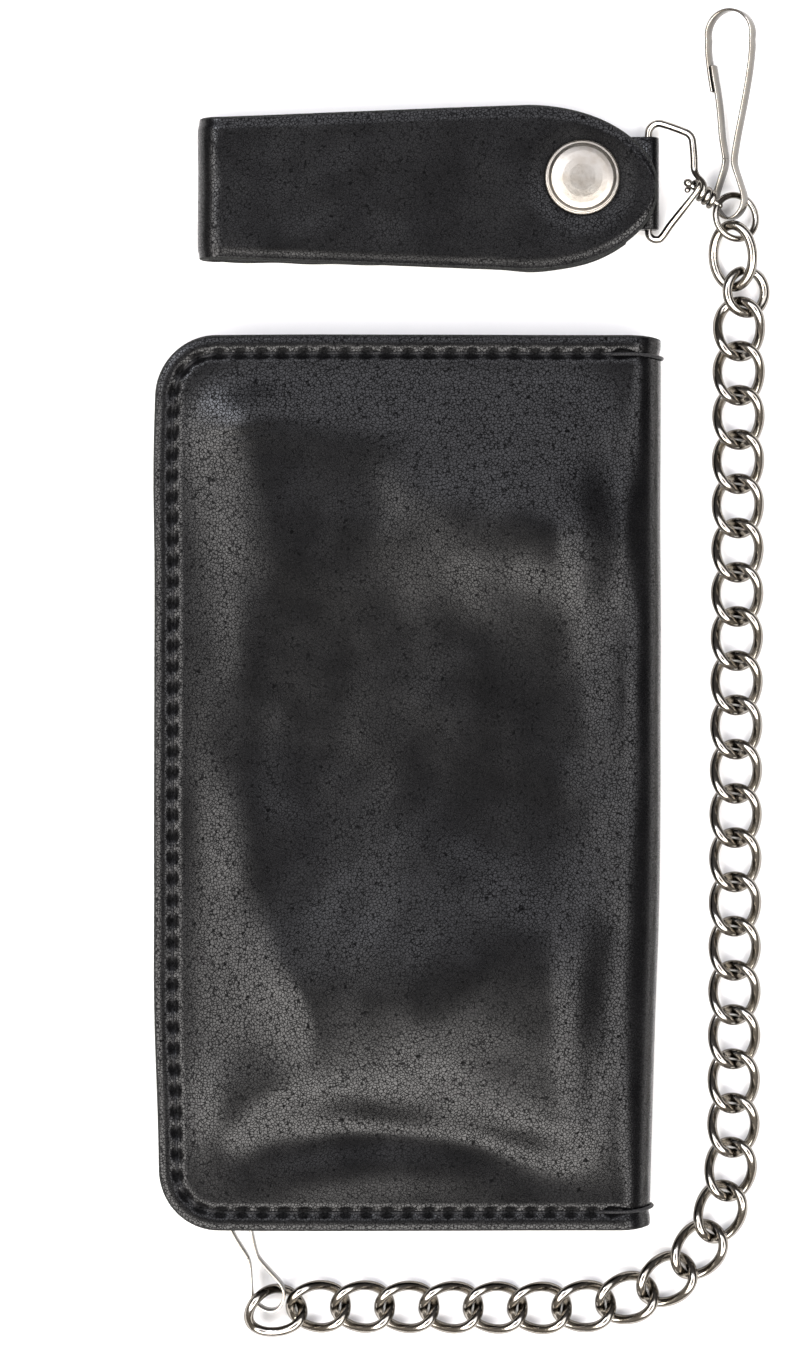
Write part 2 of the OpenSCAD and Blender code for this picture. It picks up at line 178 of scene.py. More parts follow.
def new_material(name):
    material = bpy.data.materials.new(name)
    material.use_nodes = True
    tree = material.node_tree
    return material, tree, tree.nodes["Principled BSDF"]


def feed(tree, node, inputs):
    """Sets a node's sockets. Each value is a number, a tuple or another node's output."""
    for name, value in inputs.items():
        if isinstance(value, bpy.types.NodeSocket):
            tree.links.new(value, node.inputs[name])
        else:
            node.inputs[name].default_value = value


def add_node(tree, kind, inputs=None, **settings):
    node = tree.nodes.new("ShaderNode" + kind)
    for name, value in settings.items():
        setattr(node, name, value)
    feed(tree, node, inputs or {})
    return node


def attribute(tree, name, output="Fac"):
    return add_node(tree, "Attribute", attribute_name=name).outputs[output]


def noise(tree, place, size, detail=2.0, roughness=0.5, output="Fac"):
    """Uneven field whose features are about size millimetres across."""
    return add_node(tree, "TexNoise", {"Vector": place, "Scale": 1 / (size * MM), "Detail": detail,
                                       "Roughness": roughness}).outputs[output]


def spread(tree, value, low, high, out_low=0, out_high=1):
    return add_node(tree, "MapRange", {"Value": value, "From Min": low, "From Max": high,
                                       "To Min": out_low, "To Max": out_high}).outputs["Result"]


def maths(tree, operation, a, b):
    return add_node(tree, "Math", {0: a, 1: b}, operation=operation).outputs["Value"]


def times(tree, a, b):
    return maths(tree, "MULTIPLY", a, b)


def plus(tree, a, b):
    return maths(tree, "ADD", a, b)


def mix_colour(tree, factor, low, high):
    """Colour between low and high. Each is a colour or another node's output."""
    low, high = (c if isinstance(c, bpy.types.NodeSocket) else (*c, 1) for c in (low, high))
    return add_node(tree, "Mix", {"Factor": factor, 6: low, 7: high}, data_type="RGBA").outputs[2]


def bump(tree, height, depth, strength):
    """Normal of a bumpy surface. The depth is in millimetres."""
    return add_node(tree, "Bump", {"Height": height, "Distance": depth * MM,
                                   "Strength": strength}).outputs["Normal"]


def leather_material(name, grain=0.62, depth=0.05, crease_painted_shade=(0.001, 0.001, 0.0012),
                     top=(0.0026, 0.0026, 0.0032), rough=(0.2, 0.3), strength=0.95):
    """Pebbled leather: cells of about one grain, finer wrinkles in them, and slow changes of gloss.
    Creases and stitch holes get painted shade, a darker colour and a weaker reflection, and are dull."""
    material, tree, shader = new_material(name)
    place = attribute(tree, "rest", "Vector")
    wander = noise(tree, place, 2.2 * grain, output="Color")
    bent = add_node(tree, "VectorMath", {0: wander, 1: (grain * MM * 0.7,) * 3}, operation="MULTIPLY")
    moved = add_node(tree, "VectorMath", {0: place, 1: bent.outputs[0]}, operation="ADD").outputs[0]
    cells = add_node(tree, "TexVoronoi", {"Vector": moved, "Scale": 1 / (grain * MM)},
                     feature="DISTANCE_TO_EDGE").outputs["Distance"]
    pebble = spread(tree, cells, 0.02, 0.14)
    fine = noise(tree, place, 0.42 * grain, 3.0, 0.65)
    slow = noise(tree, place, 11, 4.0, 0.6)
    # Painted shade: in the creases of the grain and in the stitch holes (pit) the colour is darker and the
    # reflection weaker.
    pit = attribute(tree, "pit")
    open_air = maths(tree, "SUBTRACT", 1.0, pit)
    tone_and_painted_shade = times(tree, times(tree, pebble, spread(tree, slow, 0.3, 0.7, 0.7, 1.0)), open_air)
    speck = spread(tree, fine, 0.35, 0.62, 0.35, 1)
    shine_with_painted_shade = times(tree, times(tree, pebble, speck), open_air)
    dull = plus(tree, times(tree, maths(tree, "SUBTRACT", 1.0, pebble), 0.2), times(tree, pit, 0.6))
    feed(tree, shader, {
        "Normal": bump(tree, plus(tree, times(tree, pebble, 0.12), times(tree, fine, 0.17)), depth, strength),
        "Base Color": mix_colour(tree, tone_and_painted_shade, crease_painted_shade, top),
        "Specular Tint": mix_colour(tree, shine_with_painted_shade, (0.06, 0.06, 0.06), (1, 1, 1)),
        "Roughness": plus(tree, spread(tree, slow, 0.3, 0.7, *rough), dull),
        "Specular IOR Level": 0.5})
    return material


def edge_material():
    """Cut edge of the leather: dull, with the fibres showing."""
    material, tree, shader = new_material("leather_edge")
    fibre = noise(tree, attribute(tree, "rest", "Vector"), 0.35, 4.0, 0.7)
    feed(tree, shader, {
        "Base Color": mix_colour(tree, spread(tree, fibre, 0.35, 0.7), (0.005, 0.005, 0.005),
                                 (0.028, 0.03, 0.028)),
        "Normal": bump(tree, fibre, 0.15, 0.9),
        "Roughness": spread(tree, fibre, 0.3, 0.7, 0.9, 0.7),
        "Specular IOR Level": 0.25})
    return material


def diagonal_wave(tree, place, size, **inputs):
    named = {name.replace("_", " ").title(): value for name, value in inputs.items()}
    return add_node(tree, "TexWave", {"Vector": place, "Scale": 1 / (size * MM), **named},
                    bands_direction="DIAGONAL").outputs["Fac"]


def thread_material():
    """Waxed two-ply thread."""
    material, tree, shader = new_material("black_thread")
    place = attribute(tree, "rest", "Vector")
    twist = diagonal_wave(tree, place, 0.9, distortion=1.5)
    fuzz = noise(tree, place, 0.2)
    feed(tree, shader, {
        "Normal": bump(tree, plus(tree, twist, fuzz), 0.1, 0.8),
        "Base Color": mix_colour(tree, fuzz, (0.002, 0.002, 0.003), (0.012, 0.012, 0.014)),
        "Roughness": spread(tree, twist, 0, 1, 0.65, 0.45)})
    return material


def metal_material(name, warm=(0.40, 0.365, 0.31), cool=(0.50, 0.48, 0.45), rough=(0.07, 0.17),
                   flank_painted_shade=(0.075, 0.064, 0.05)):
    """Plated metal with soft unevenness, fine scratches and dull specks. Its flanks, by the direction of the
    surface on the piece itself, get painted shade: they are darker than its upper and lower faces."""
    material, tree, shader = new_material(name)
    place = attribute(tree, "rest", "Vector")
    slow = noise(tree, place, 3.5, 3.0)
    specks = noise(tree, place, 0.35, 3.0, 0.7)
    streaks = diagonal_wave(tree, place, 1.3, distortion=14.0, detail=3.0, detail_scale=2.5)
    wear = plus(tree, times(tree, specks, 0.6), times(tree, streaks, 0.4))
    # Painted shade: flanks, found by the surface's own direction, are tinted darker than the upper and lower
    # faces.
    facing = add_node(tree, "SeparateXYZ", {0: add_node(tree, "TexCoord").outputs["Normal"]}).outputs["Z"]
    free_of_painted_shade = spread(tree, maths(tree, "ABSOLUTE", facing, 0.0), 0.4, 0.85)
    plate = mix_colour(tree, spread(tree, slow, 0.3, 0.7), warm, cool)
    feed(tree, shader, {
        "Base Color": mix_colour(tree, free_of_painted_shade, flank_painted_shade, plate),
        "Roughness": spread(tree, wear, 0.3, 0.75, *rough),
        "Normal": bump(tree, plus(tree, slow, times(tree, wear, 0.12)), 0.12, 0.5),
        "Metallic": 1.0})
    return material


# ---------- mesh building ----------

def sub_mesh(points, faces, slots=None):
    return np.asarray(points, float), faces, [0] * len(faces) if slots is None else slots


def make_piece(name, parts, materials, body=None, replaced=(), attributes=None, matrix=None):
    """Piece from sub-meshes given in millimetres. It rides on body, or is left free."""
    points, faces, slots, first = [], [], [], 0
    for part_points, part_faces, part_slots in parts:
        points.append(part_points)
        faces.extend([tuple(int(i) + first for i in face) for face in part_faces])
        slots.extend(part_slots)
        first += len(part_points)
    points = np.concatenate(points)
    if matrix is not None:
        points = points @ np.array(matrix)[:3, :3].T + np.array(matrix)[:3, 3]
    mesh = bpy.data.meshes.new(name)
    mesh.from_pydata((points * MM).tolist(), [], faces)
    for material in materials:
        mesh.materials.append(material)
    mesh.polygons.foreach_set("material_index", slots)
    mesh.polygons.foreach_set("use_smooth", [True] * len(faces))
    clean = bmesh.new()
    clean.from_mesh(mesh)
    bmesh.ops.recalc_face_normals(clean, faces=clean.faces)
    clean.to_mesh(mesh)
    clean.free()
    rest = mesh.attributes.new("rest", "FLOAT_VECTOR", "POINT")
    rest.data.foreach_set("vector", (points * MM).ravel())
    for key, values in (attributes or {}).items():
        mesh.attributes.new(key, "FLOAT", "POINT").data.foreach_set("value", np.asarray(values, np.float32))
    obj = bpy.data.objects.new(name, mesh)
    scene.collection.objects.link(obj)
    if body:
        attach(obj, body)
    if replaced:
        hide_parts(*replaced)
    return obj


def add_nickel(node, parts, material, body=None, matrix=None):
    """Metal piece in place of a CAD node. It rides on the body of the same name unless told otherwise."""
    make_piece(node + "_nickel", parts, [material], body or node, (node,), matrix=matrix)


def loop(path, radius, sides, up=(0, 0, 1)):
    return tube(path, radius, sides, closed=True, up=up)


def smooth_path(points, steps):
    """Smooth curve through points of any number of columns, with steps spans between neighbours."""
    p = np.asarray(points, float)
    knots = np.r_[0, np.cumsum(np.linalg.norm(np.diff(p[:, :3], axis=0), axis=1) ** 0.5)]
    slope = np.gradient(p, knots, axis=0)
    f = np.linspace(0, 1, steps, endpoint=False)[None, :, None]
    span = np.diff(knots)[:, None, None]
    a, b = p[:-1, None], p[1:, None]
    curve = ((2 * f ** 3 - 3 * f ** 2 + 1) * a + (f ** 3 - 2 * f ** 2 + f) * span * slope[:-1, None]
             + (3 * f ** 2 - 2 * f ** 3) * b + (f ** 3 - f ** 2) * span * slope[1:, None])
    return np.concatenate([curve.reshape(-1, p.shape[1]), p[-1:]])


def soften(points, size, steps=4, closed=False):
    """Polyline with each corner rounded off."""
    p = np.asarray(points, float)
    n = len(p)
    out = []
    for i in range(n):
        if not closed and i in (0, n - 1):
            out.append(p[i])
            continue
        back, on = p[i - 1] - p[i], p[(i + 1) % n] - p[i]
        a = p[i] + back * min(0.45, size / max(np.linalg.norm(back), 1e-9))
        b = p[i] + on * min(0.45, size / max(np.linalg.norm(on), 1e-9))
        for f in np.linspace(0, 1, steps):
            out.append((1 - f) ** 2 * a + 2 * f * (1 - f) * p[i] + f ** 2 * b)
    return np.array(out)


def unit(v):
    return v / np.linalg.norm(v, axis=-1, keepdims=True)


def ring_faces(rings, sides, closed=False):
    """Faces between rings of points. Unless the rings close on themselves, the ends are covered."""
    faces = []
    for i in range(rings if closed else rings - 1):
        j = (i + 1) % rings
        for k in range(sides):
            m = (k + 1) % sides
            faces.append((i * sides + k, i * sides + m, j * sides + m, j * sides + k))
    if not closed:
        last = (rings - 1) * sides
        faces += [tuple(range(sides)), tuple(range(last, last + sides))]
    return faces


def path_frames(path, closed, up):
    """Tangent and two square directions at each point of a path, without sudden twists."""
    if closed:
        tangent = unit(np.roll(path, -1, 0) - np.roll(path, 1, 0))
    else:
        tangent = unit(np.gradient(path, axis=0))
    if up is not None:
        side = unit(np.cross(tangent, up))
        return tangent, side, np.cross(side, tangent)
    helper = np.array([0, 0, 1.0]) if abs(tangent[0][2]) < 0.9 else np.array([1.0, 0, 0])
    side = [unit(np.cross(tangent[0], helper))]
    for t in tangent[1:]:
        last = side[-1] - np.dot(side[-1], t) * t
        side.append(last / np.linalg.norm(last))
    side = np.array(side)
    return tangent, side, np.cross(side, tangent)


def tube(path, radius, sides=20, closed=False, up=None):
    """Round wire along a path, with rounded ends if it is open."""
    path = np.asarray(path, float)
    radius = np.broadcast_to(np.asarray(radius, float), len(path))
    tangent, side, other = path_frames(path, closed, up)
    angle = np.linspace(0, 2 * np.pi, sides, endpoint=False)[None, :, None]
    spoke = np.cos(angle) * side[:, None] + np.sin(angle) * other[:, None]
    rings = path[:, None] + radius[:, None, None] * spoke
    if not closed:
        turn = np.radians([78, 52, 26])[:, None, None]
        start = path[0] + radius[0] * (np.cos(turn) * spoke[0] - np.sin(turn) * tangent[0])
        turn = turn[::-1]
        end = path[-1] + radius[-1] * (np.cos(turn) * spoke[-1] + np.sin(turn) * tangent[-1])
        rings = np.concatenate([start, rings, end])
    return sub_mesh(rings.reshape(-1, 3), ring_faces(len(rings), sides, closed))


def lathe(profile, centre, size=0.12, sides=72):
    """Solid of revolution about a vertical line. The profile is a list of (radius, height)."""
    outline = soften(profile, size)
    on_axis = outline[:, 0] < 1e-6
    angle = np.linspace(0, 2 * np.pi, sides, endpoint=False)
    points, rows = [], []
    for (r, z), pole in zip(outline, on_axis):
        rows.append((len(points), pole))
        points.extend((centre[0] + r * cos(a), centre[1] + r * sin(a), centre[2] + z)
                      for a in angle[:1 if pole else sides])
    faces = []
    pairs = list(zip(rows, rows[1:]))
    if not on_axis[0] and not on_axis[-1]:
        pairs.append((rows[-1], rows[0]))
    for (a, a_pole), (b, b_pole) in pairs:
        if a_pole and b_pole:
            continue
        for k in range(sides):
            m = (k + 1) % sides
            if a_pole:
                faces.append((a, b + k, b + m))
            elif b_pole:
                faces.append((a + k, b, a + m))
            else:
                faces.append((a + k, a + m, b + m, b + k))
    return sub_mesh(points, faces)


def slab(outline, low, high, bevel):
    """Flat piece with a rounded edge. The outline is a closed list of points in the XY plane."""
    flat = np.asarray(outline, float)
    n = len(flat)
    along = unit(np.roll(flat, -1, 0) - np.roll(flat, 1, 0))
    out = np.c_[along[:, 1], -along[:, 0]]
    area = np.sum(flat[:, 0] * np.roll(flat[:, 1], -1) - flat[:, 1] * np.roll(flat[:, 0], -1))
    if area < 0:
        out = -out
    steps = [(2.6, 0), (1, 0), (0.3, 0.3), (0, 1)]
    levels = [(inset, low + rise * bevel) for inset, rise in steps]
    levels += [(inset, high - rise * bevel) for inset, rise in steps[::-1]]
    rings = [np.c_[flat - out * inset * bevel, np.full(n, z)] for inset, z in levels]
    return sub_mesh(np.concatenate(rings), ring_faces(len(rings), n))


def strip(path, width, thick, bevel=0.12):
    """Flat strip bent along a path in the XY plane, its width along Z."""
    path = np.asarray(path, float)
    tangent = unit(np.gradient(path, axis=0))
    normal = np.c_[-tangent[:, 1], tangent[:, 0]]
    t, w, b = thick / 2, width / 2, bevel
    corner = [(t, w - b), (t - 0.3 * b, w - 0.3 * b), (t - b, w)]
    section = (corner + [(-x, z) for x, z in corner[::-1]] + [(-x, -z) for x, z in corner]
               + [(x, -z) for x, z in corner[::-1]])

    def ring(at, centre, thinner=1.0, narrower=1.0):
        return [(*(centre + normal[at] * x * thinner), z * narrower) for x, z in section]

    rings = [ring(0, path[0] - tangent[0] * 0.1, 0.825, 0.96)]
    rings += [ring(at, centre) for at, centre in enumerate(path)]
    rings.append(ring(-1, path[-1] + tangent[-1] * 0.1, 0.825, 0.96))
    return sub_mesh(np.array(rings).reshape(-1, 3), ring_faces(len(rings), len(section)))


# How far an edge bulges and how deep that is, from the outer face to the inner. RIM has a groove between
# its two layers of leather.
RIM = [(0.62, 0.05), (0.95, 0.2), (1.0, 0.36), (0.72, 0.46), (0.72, 0.5), (1.0, 0.6), (0.95, 0.82),
       (0.62, 0.96)]
PLAIN_RIM = [(0.62, 0.07), (1.0, 0.3), (1.0, 0.7), (0.62, 0.93)]


def shell(outer, inner, bevel, rim=PLAIN_RIM, skip=1):
    """Closed sheet between two grids of points, columns by rows. Its edge swells out by bevel.
    The inner grid keeps one row and column in skip. Material slots: 0 outer, 1 edge, 2 inner."""
    columns, rows = outer.shape[:2]
    number = np.arange(columns * rows).reshape(columns, rows)

    def boundary(grid):
        return np.concatenate([grid[:-1, 0], grid[-1, :-1], grid[:0:-1, -1], grid[0, :0:-1]])

    def quads(grid):
        corners = [grid[:-1, :-1], grid[1:, :-1], grid[1:, 1:], grid[:-1, 1:]]
        return np.stack(corners, -1).reshape(-1, 4).tolist()

    out_line, in_line = boundary(outer), boundary(inner)
    along = np.roll(out_line, -1, 0) - np.roll(out_line, 1, 0)
    outward = unit(np.cross(along, out_line - in_line))
    middle = columns // 2
    if np.dot(outward[middle], outer[middle, 0] - outer[middle, 1]) < 0:
        outward = -outward
    count = len(out_line)
    rings = [out_line * (1 - depth) + in_line * depth + outward * bevel * push for push, depth in rim]
    coarse = inner[::skip, ::skip]
    coarse_number = np.arange(coarse.shape[0] * coarse.shape[1]).reshape(coarse.shape[:2])
    first_ring = columns * rows
    first_inner = first_ring + count * len(rings)
    points = np.concatenate([outer.reshape(-1, 3)] + rings + [coarse.reshape(-1, 3)])
    faces = quads(number)
    slots = [0] * len(faces)
    lines = [boundary(number)] + [first_ring + count * k + np.arange(count) for k in range(len(rings))]
    for a, b in zip(lines, lines[1:]):
        faces += np.stack([a, np.roll(a, -1), np.roll(b, -1), b], -1).tolist()
    last, inner_edge = lines[-1], boundary(coarse_number) + first_inner
    for k in range(len(inner_edge)):
        fine = [int(last[(k * skip + s) % count]) for s in range(skip + 1)]
        faces.append(fine + [int(inner_edge[(k + 1) % len(inner_edge)]), int(inner_edge[k])])
    slots += [1] * (len(faces) - len(slots))
    back = quads(coarse_number + first_inner)
    faces += back
    slots += [2] * len(back)
    return sub_mesh(points, faces, slots)


def upright_slab(outline, low, high, bevel):
    """Slab whose outline lies in the XZ plane, its thickness along Y."""
    points, faces, slots = slab(outline, low, high, bevel)
    return points[:, [0, 2, 1]], faces, slots


def fan(start, end, count):
    """Evenly spaced angles in radians between two in degrees."""
    return np.radians(np.linspace(start, end, count))


def rotation(angle, axis):
    """Matrix of a turn by degrees about an axis through the origin."""
    return Matrix.Rotation(radians(angle), 4, axis)


def waves(x, y, size, seed, count=14):
    """Smooth random unevenness from -1 to 1 whose bumps are about size millimetres across."""
    draw = np.random.RandomState(seed)
    total = 0
    for _ in range(count):
        heading, phase = draw.uniform(0, 2 * np.pi, 2)
        length = size * draw.uniform(1.3, 3.0)
        along = x * cos(heading) + y * sin(heading)
        total = total + np.cos(2 * np.pi * along / length + phase)
    return total / sqrt(count * 2)


# ---------- wallet leather ----------

WALLET_LOW, WALLET_HIGH = box_mm("front_cover")
SPINE_HIGH = box_mm("spine_fold")[1]
OPEN_X = WALLET_LOW[0]
SPINE_X = WALLET_HIGH[0]
HALF_H = WALLET_HIGH[1]
COVER_T = WALLET_HIGH[2]
WALLET_T = SPINE_HIGH[2]
SPINE_R = WALLET_T / 2
CORNER_R = 12
SEAM_INSET = 3.7
SEAM_PITCH = 4.2
HOLE_HALF_L = 0.85
HOLE_HALF_W = 0.58
HOLE_DEPTH = 1.15
PAD_H = 2.6
PAD_SLOPE = 20
FURROW_DEPTH = 2.8
FURROW_W = 7.5
EDGE_BEVEL = 0.4
SEAM_END_X = 42.2
CLOSURE_X = -41
CLOSURE_Y = 54
SPINE_TUCK = 2.0
SIDE_TUCK = 1.1


def edge_distance(x, y):
    """How far inside the sewn outline of a cover a place lies. The spine side has no edge."""
    qx = x - (OPEN_X + CORNER_R)
    qy = np.abs(y) - (HALF_H - CORNER_R)
    straight = np.minimum(x - OPEN_X, HALF_H - np.abs(y))
    return np.where((qx < 0) & (qy > 0), CORNER_R - np.hypot(qx, qy), straight)


def seam_points():
    """Stitch holes along the top, the open side and the bottom, evenly spaced, with their headings."""
    r = CORNER_R - SEAM_INSET
    left, top = OPEN_X + SEAM_INSET, HALF_H - SEAM_INSET
    side = SEAM_END_X - (OPEN_X + CORNER_R)
    quarter = r * pi / 2
    lengths = [side, quarter, 2 * (HALF_H - CORNER_R), quarter, side]
    total = sum(lengths)
    count = round(total / SEAM_PITCH)
    holes = []
    for k in range(count + 1):
        s, leg = total * k / count, 0
        while leg < 4 and s > lengths[leg]:
            s -= lengths[leg]
            leg += 1
        if leg % 2:
            a = pi / 4 * (leg + 1) + s / r
            middle_y = (2 - leg) * (top - r)
            holes.append((left + r + r * cos(a), middle_y + r * sin(a), a + pi / 2))
        else:
            straights = ((SEAM_END_X - s, top, pi), (left, top - r - s, -pi / 2),
                         (OPEN_X + CORNER_R + s, -top, 0.0))
            holes.append(straights[leg // 2])
    return np.array(holes)


HOLES = seam_points()


def hole_depth(x, y):
    """1 at the middle of a stitch hole, falling to 0 round it. The hole is longer along the seam."""
    x, y = np.asarray(x, float), np.asarray(y, float)
    deep = np.zeros(x.shape)
    near = np.abs(edge_distance(x, y) - SEAM_INSET) < 2
    px, py = x[near], y[near]
    best = np.zeros(px.shape)
    for hx, hy, heading in HOLES:
        dx, dy = px - hx, py - hy
        a = dx * cos(heading) + dy * sin(heading)
        b = dy * cos(heading) - dx * sin(heading)
        best = np.maximum(best, np.exp(-(a / HOLE_HALF_L) ** 2 - (b / HOLE_HALF_W) ** 2))
    deep[near] = best
    return deep


# Soft shapes of the padded back, in millimetres and degrees: x, y, half length, half width, angle, height.
SWELLS = [
    (-36.0, 74.0, 13.0, 8.0, 30, 1.5),
    (8.0, 50.0, 24.0, 12.0, 10, 2.4),
    (30.0, 50.0, 15.0, 15.0, 0, 2.6),
    (30.0, -46.0, 14.0, 20.0, 0, 2.0),
    (-16.0, 12.0, 36.0, 18.0, 85, -2.2),
    (2.0, -40.0, 30.0, 18.0, 12, 4.0),
    (-38.0, -66.0, 9.0, 6.0, 60, 1.2),
    (30.0, -79.0, 6.0, 4.5, 0, -0.9),
    (-38.0, 30.0, 24.0, 6.0, 90, -0.5),
]
FURROW = [(-31, -78), (-23, -73), (-12, -69.5), (4, -69.5), (18, -73), (28, -79), (33, -84)]


# Short creases in the upper corner by the open side: y and depth.
CREASES = [(69.0, 0.22), (66.6, 0.16), (64.4, 0.12)]


def swell(x, y, cx, cy, half_l, half_w, angle):
    a = radians(angle)
    u = (x - cx) * cos(a) + (y - cy) * sin(a)
    v = (y - cy) * cos(a) - (x - cx) * sin(a)
    return np.exp(-(u / half_l) ** 2 - (v / half_w) ** 2)


def furrow(x, y, points, width):
    """1 along a bent line of points, falling to 0 beside it."""
    line = smooth_path(np.c_[np.array(points, float), np.zeros(len(points))], 6)[:, :2]
    far = np.full(np.shape(x), 1e9)
    for (ax, ay), (bx, by) in zip(line, line[1:]):
        length = (bx - ax) ** 2 + (by - ay) ** 2
        f = np.clip(((x - ax) * (bx - ax) + (y - ay) * (by - ay)) / length, 0, 1)
        far = np.minimum(far, np.hypot(x - ax - f * (bx - ax), y - ay - f * (by - ay)))
    return bell(far, width)


def sewn_relief(x, y):
    """Height of the leather along its edge: rounded off, flat in the border and pressed in by the seam."""
    d = edge_distance(x, y)
    groove = 0.45 * bell(d - SEAM_INSET, 0.85)
    return -groove - HOLE_DEPTH * hole_depth(x, y) - 0.3 * smooth_step(1.6, 0, d)


def back_relief(x, y):
    """Height of the padded back over its flat face."""
    wander = 1 + 0.25 * waves(x, y, 30, 2)
    wx, wy = x + 3.5 * waves(x, y, 40, 11), y + 3.5 * waves(x, y, 40, 12)
    start, full = SEAM_INSET + 0.3, SEAM_INSET + PAD_SLOPE
    inside = (smooth_step(start, full, (x - OPEN_X) * wander)
              * smooth_step(start, full, (HALF_H - np.abs(y)) * wander))
    thin_by_spine = (1 - 0.65 * smooth_step(27, 47, wx)) * (1 - 0.8 * smooth_step(34, 51, wx))
    pad = PAD_H * inside * thin_by_spine
    for cx, cy, half_l, half_w, angle, height in SWELLS:
        pad = pad + height * inside * swell(wx, wy, cx, cy, half_l, half_w, angle)
    pad = pad - FURROW_DEPTH * inside * furrow(wx, wy, FURROW, FURROW_W)
    for crease_y, depth in CREASES:
        crease = bell(y - crease_y - 0.09 * (x + 37) + 0.7 * np.sin(x / 3.1), 0.9) * bell(x + 36, 7.5)
        pad = pad - depth * inside * crease
    pad = pad + inside * (0.20 * waves(x, y, 17, 3) + 0.07 * waves(x, y, 6, 4))
    return pad + sewn_relief(x, y)


def front_relief(x, y):
    """Height of the front face over its flat face: pressed in at the seam and round the two caps."""
    caps = smooth_step(9.0, 5.5, np.hypot(x - CLOSURE_X, np.abs(y) - CLOSURE_Y))
    return np.minimum(sewn_relief(x, y) - 1.1 * caps, 0)


def settle(points):
    """The stuffed wallet narrows a little towards its bottom, and its edges wander slightly."""
    x, y = points[..., 0], points[..., 1]
    spine_side = np.clip(x / SPINE_HIGH[0], 0, 1)
    open_side = np.clip(x / OPEN_X, 0, 1)
    moved = points.copy()
    moved[..., 0] += -SPINE_TUCK * spine_side * smooth_step(5, -HALF_H, y) ** 1.3
    moved[..., 0] += open_side * (SIDE_TUCK * smooth_step(-35, -HALF_H, y) + 0.4 * smooth_step(55, HALF_H, y))
    moved[..., 0] += 0.12 * open_side * waves(y, 0 * y, 28, 8)
    moved[..., 1] += 0.12 * (y / HALF_H) * waves(x, 0 * x, 24, 9)
    return moved


def wallet_columns():
    """Places along the cover's section, from the open edge of the back round to that of the front:
    outer point (x, z), its outward direction (x, z) and the half height of the cover there."""
    r = CORNER_R - EDGE_BEVEL
    left = OPEN_X + EDGE_BEVEL
    straight = HALF_H - EDGE_BEVEL - r
    columns = []
    for f in fan(0, 90, 21):
        columns.append((left + r * (1 - cos(f)), WALLET_T, 0, 1, straight + r * sin(f)))
    for x in np.linspace(left + r, SPINE_X, 138)[1:]:
        columns.append((x, WALLET_T, 0, 1, straight + r))
    for a in fan(90, -90, 19)[1:]:
        columns.append((SPINE_X + SPINE_R * cos(a), SPINE_R + SPINE_R * sin(a), cos(a),
                        sin(a), straight + r - 0.5 * cos(a) ** 2))
    for x in np.linspace(SPINE_X, left + r, 37)[1:]:
        columns.append((x, 0, 0, -1, straight + r))
    for f in fan(90, 0, 13)[1:]:
        columns.append((left + r * (1 - cos(f)) - 0.4 * cos(f), 0, 0, -1, straight + r * sin(f)))
    return np.array(columns)


ROWS = 298


def sweep_grid(columns, v):
    """Grid of points and outward directions. The columns are places along a section, v runs along Y."""
    x, z, out_x, up, half = (np.repeat(column[:, None], len(v), 1) for column in columns.T)
    return np.stack([x, half * v, z], -1), np.stack([out_x, 0 * x, up], -1)


def wallet_grids():
    flat, normal = sweep_grid(wallet_columns(), np.linspace(-1, 1, ROWS))
    x, y, up = flat[..., 0], flat[..., 1], normal[..., 2]
    relief = np.where(up > 0, back_relief(x, y), front_relief(x, y))
    on_spine = smooth_step(SPINE_X - 0.01, SPINE_X + 4, x)
    spine_relief = (0.55 * np.clip(up, 0, 1) + 0.10 * waves(y, 8 * up, 20, 5)
                    - 0.35 * bell(np.abs(y) - HALF_H + SEAM_INSET, 0.9))
    relief = relief * (1 - on_spine) + spine_relief * on_spine
    outer = flat + normal * relief[..., None]
    inner = flat - normal * COVER_T
    return settle(outer), settle(inner), hole_depth(x, y) * (1 - on_spine)


def fold_with_cover(piece):
    """Bakes the piece's placement into its mesh."""
    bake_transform(piece)


def add_wallet_leather(outer_leather, edge, lining):
    outer, inner, pits = wallet_grids()
    part = shell(outer, inner, EDGE_BEVEL, RIM, skip=3)
    # pit marks the stitch holes, where the leather material paints shade.
    pit = np.zeros(len(part[0]))
    pit[:pits.size] = pits.ravel()
    piece = make_piece("wallet_leather", [part], [outer_leather, edge, lining],
                       replaced=("front_cover", "spine_fold", "back_cover"), attributes={"pit": pit})
    fold_with_cover(piece)


STITCH_RADII = [0.16, 0.22, 0.26, 0.28, 0.28, 0.28, 0.26, 0.22, 0.16]
STITCH_FROM = 0.09


def stitch(a, b, relief, base, sign):
    """One stitch from hole to hole, sunk at both ends."""
    ax, ay, _ = a
    bx, by, _ = b
    points = []
    for f in np.linspace(STITCH_FROM, 1 - STITCH_FROM, len(STITCH_RADII)):
        x, y = ax + (bx - ax) * f, ay + (by - ay) * f
        arch = sin(pi * (f - STITCH_FROM) / (1 - 2 * STITCH_FROM))
        lift = 0.34 * max(0.0, arch) ** 0.6 - 0.22
        d = np.array([x]), np.array([y])
        points.append((x, y, base + sign * (float(relief(*d)[0]) + lift)))
    path = settle(np.array(points))
    return tube(path, STITCH_RADII, sides=8)


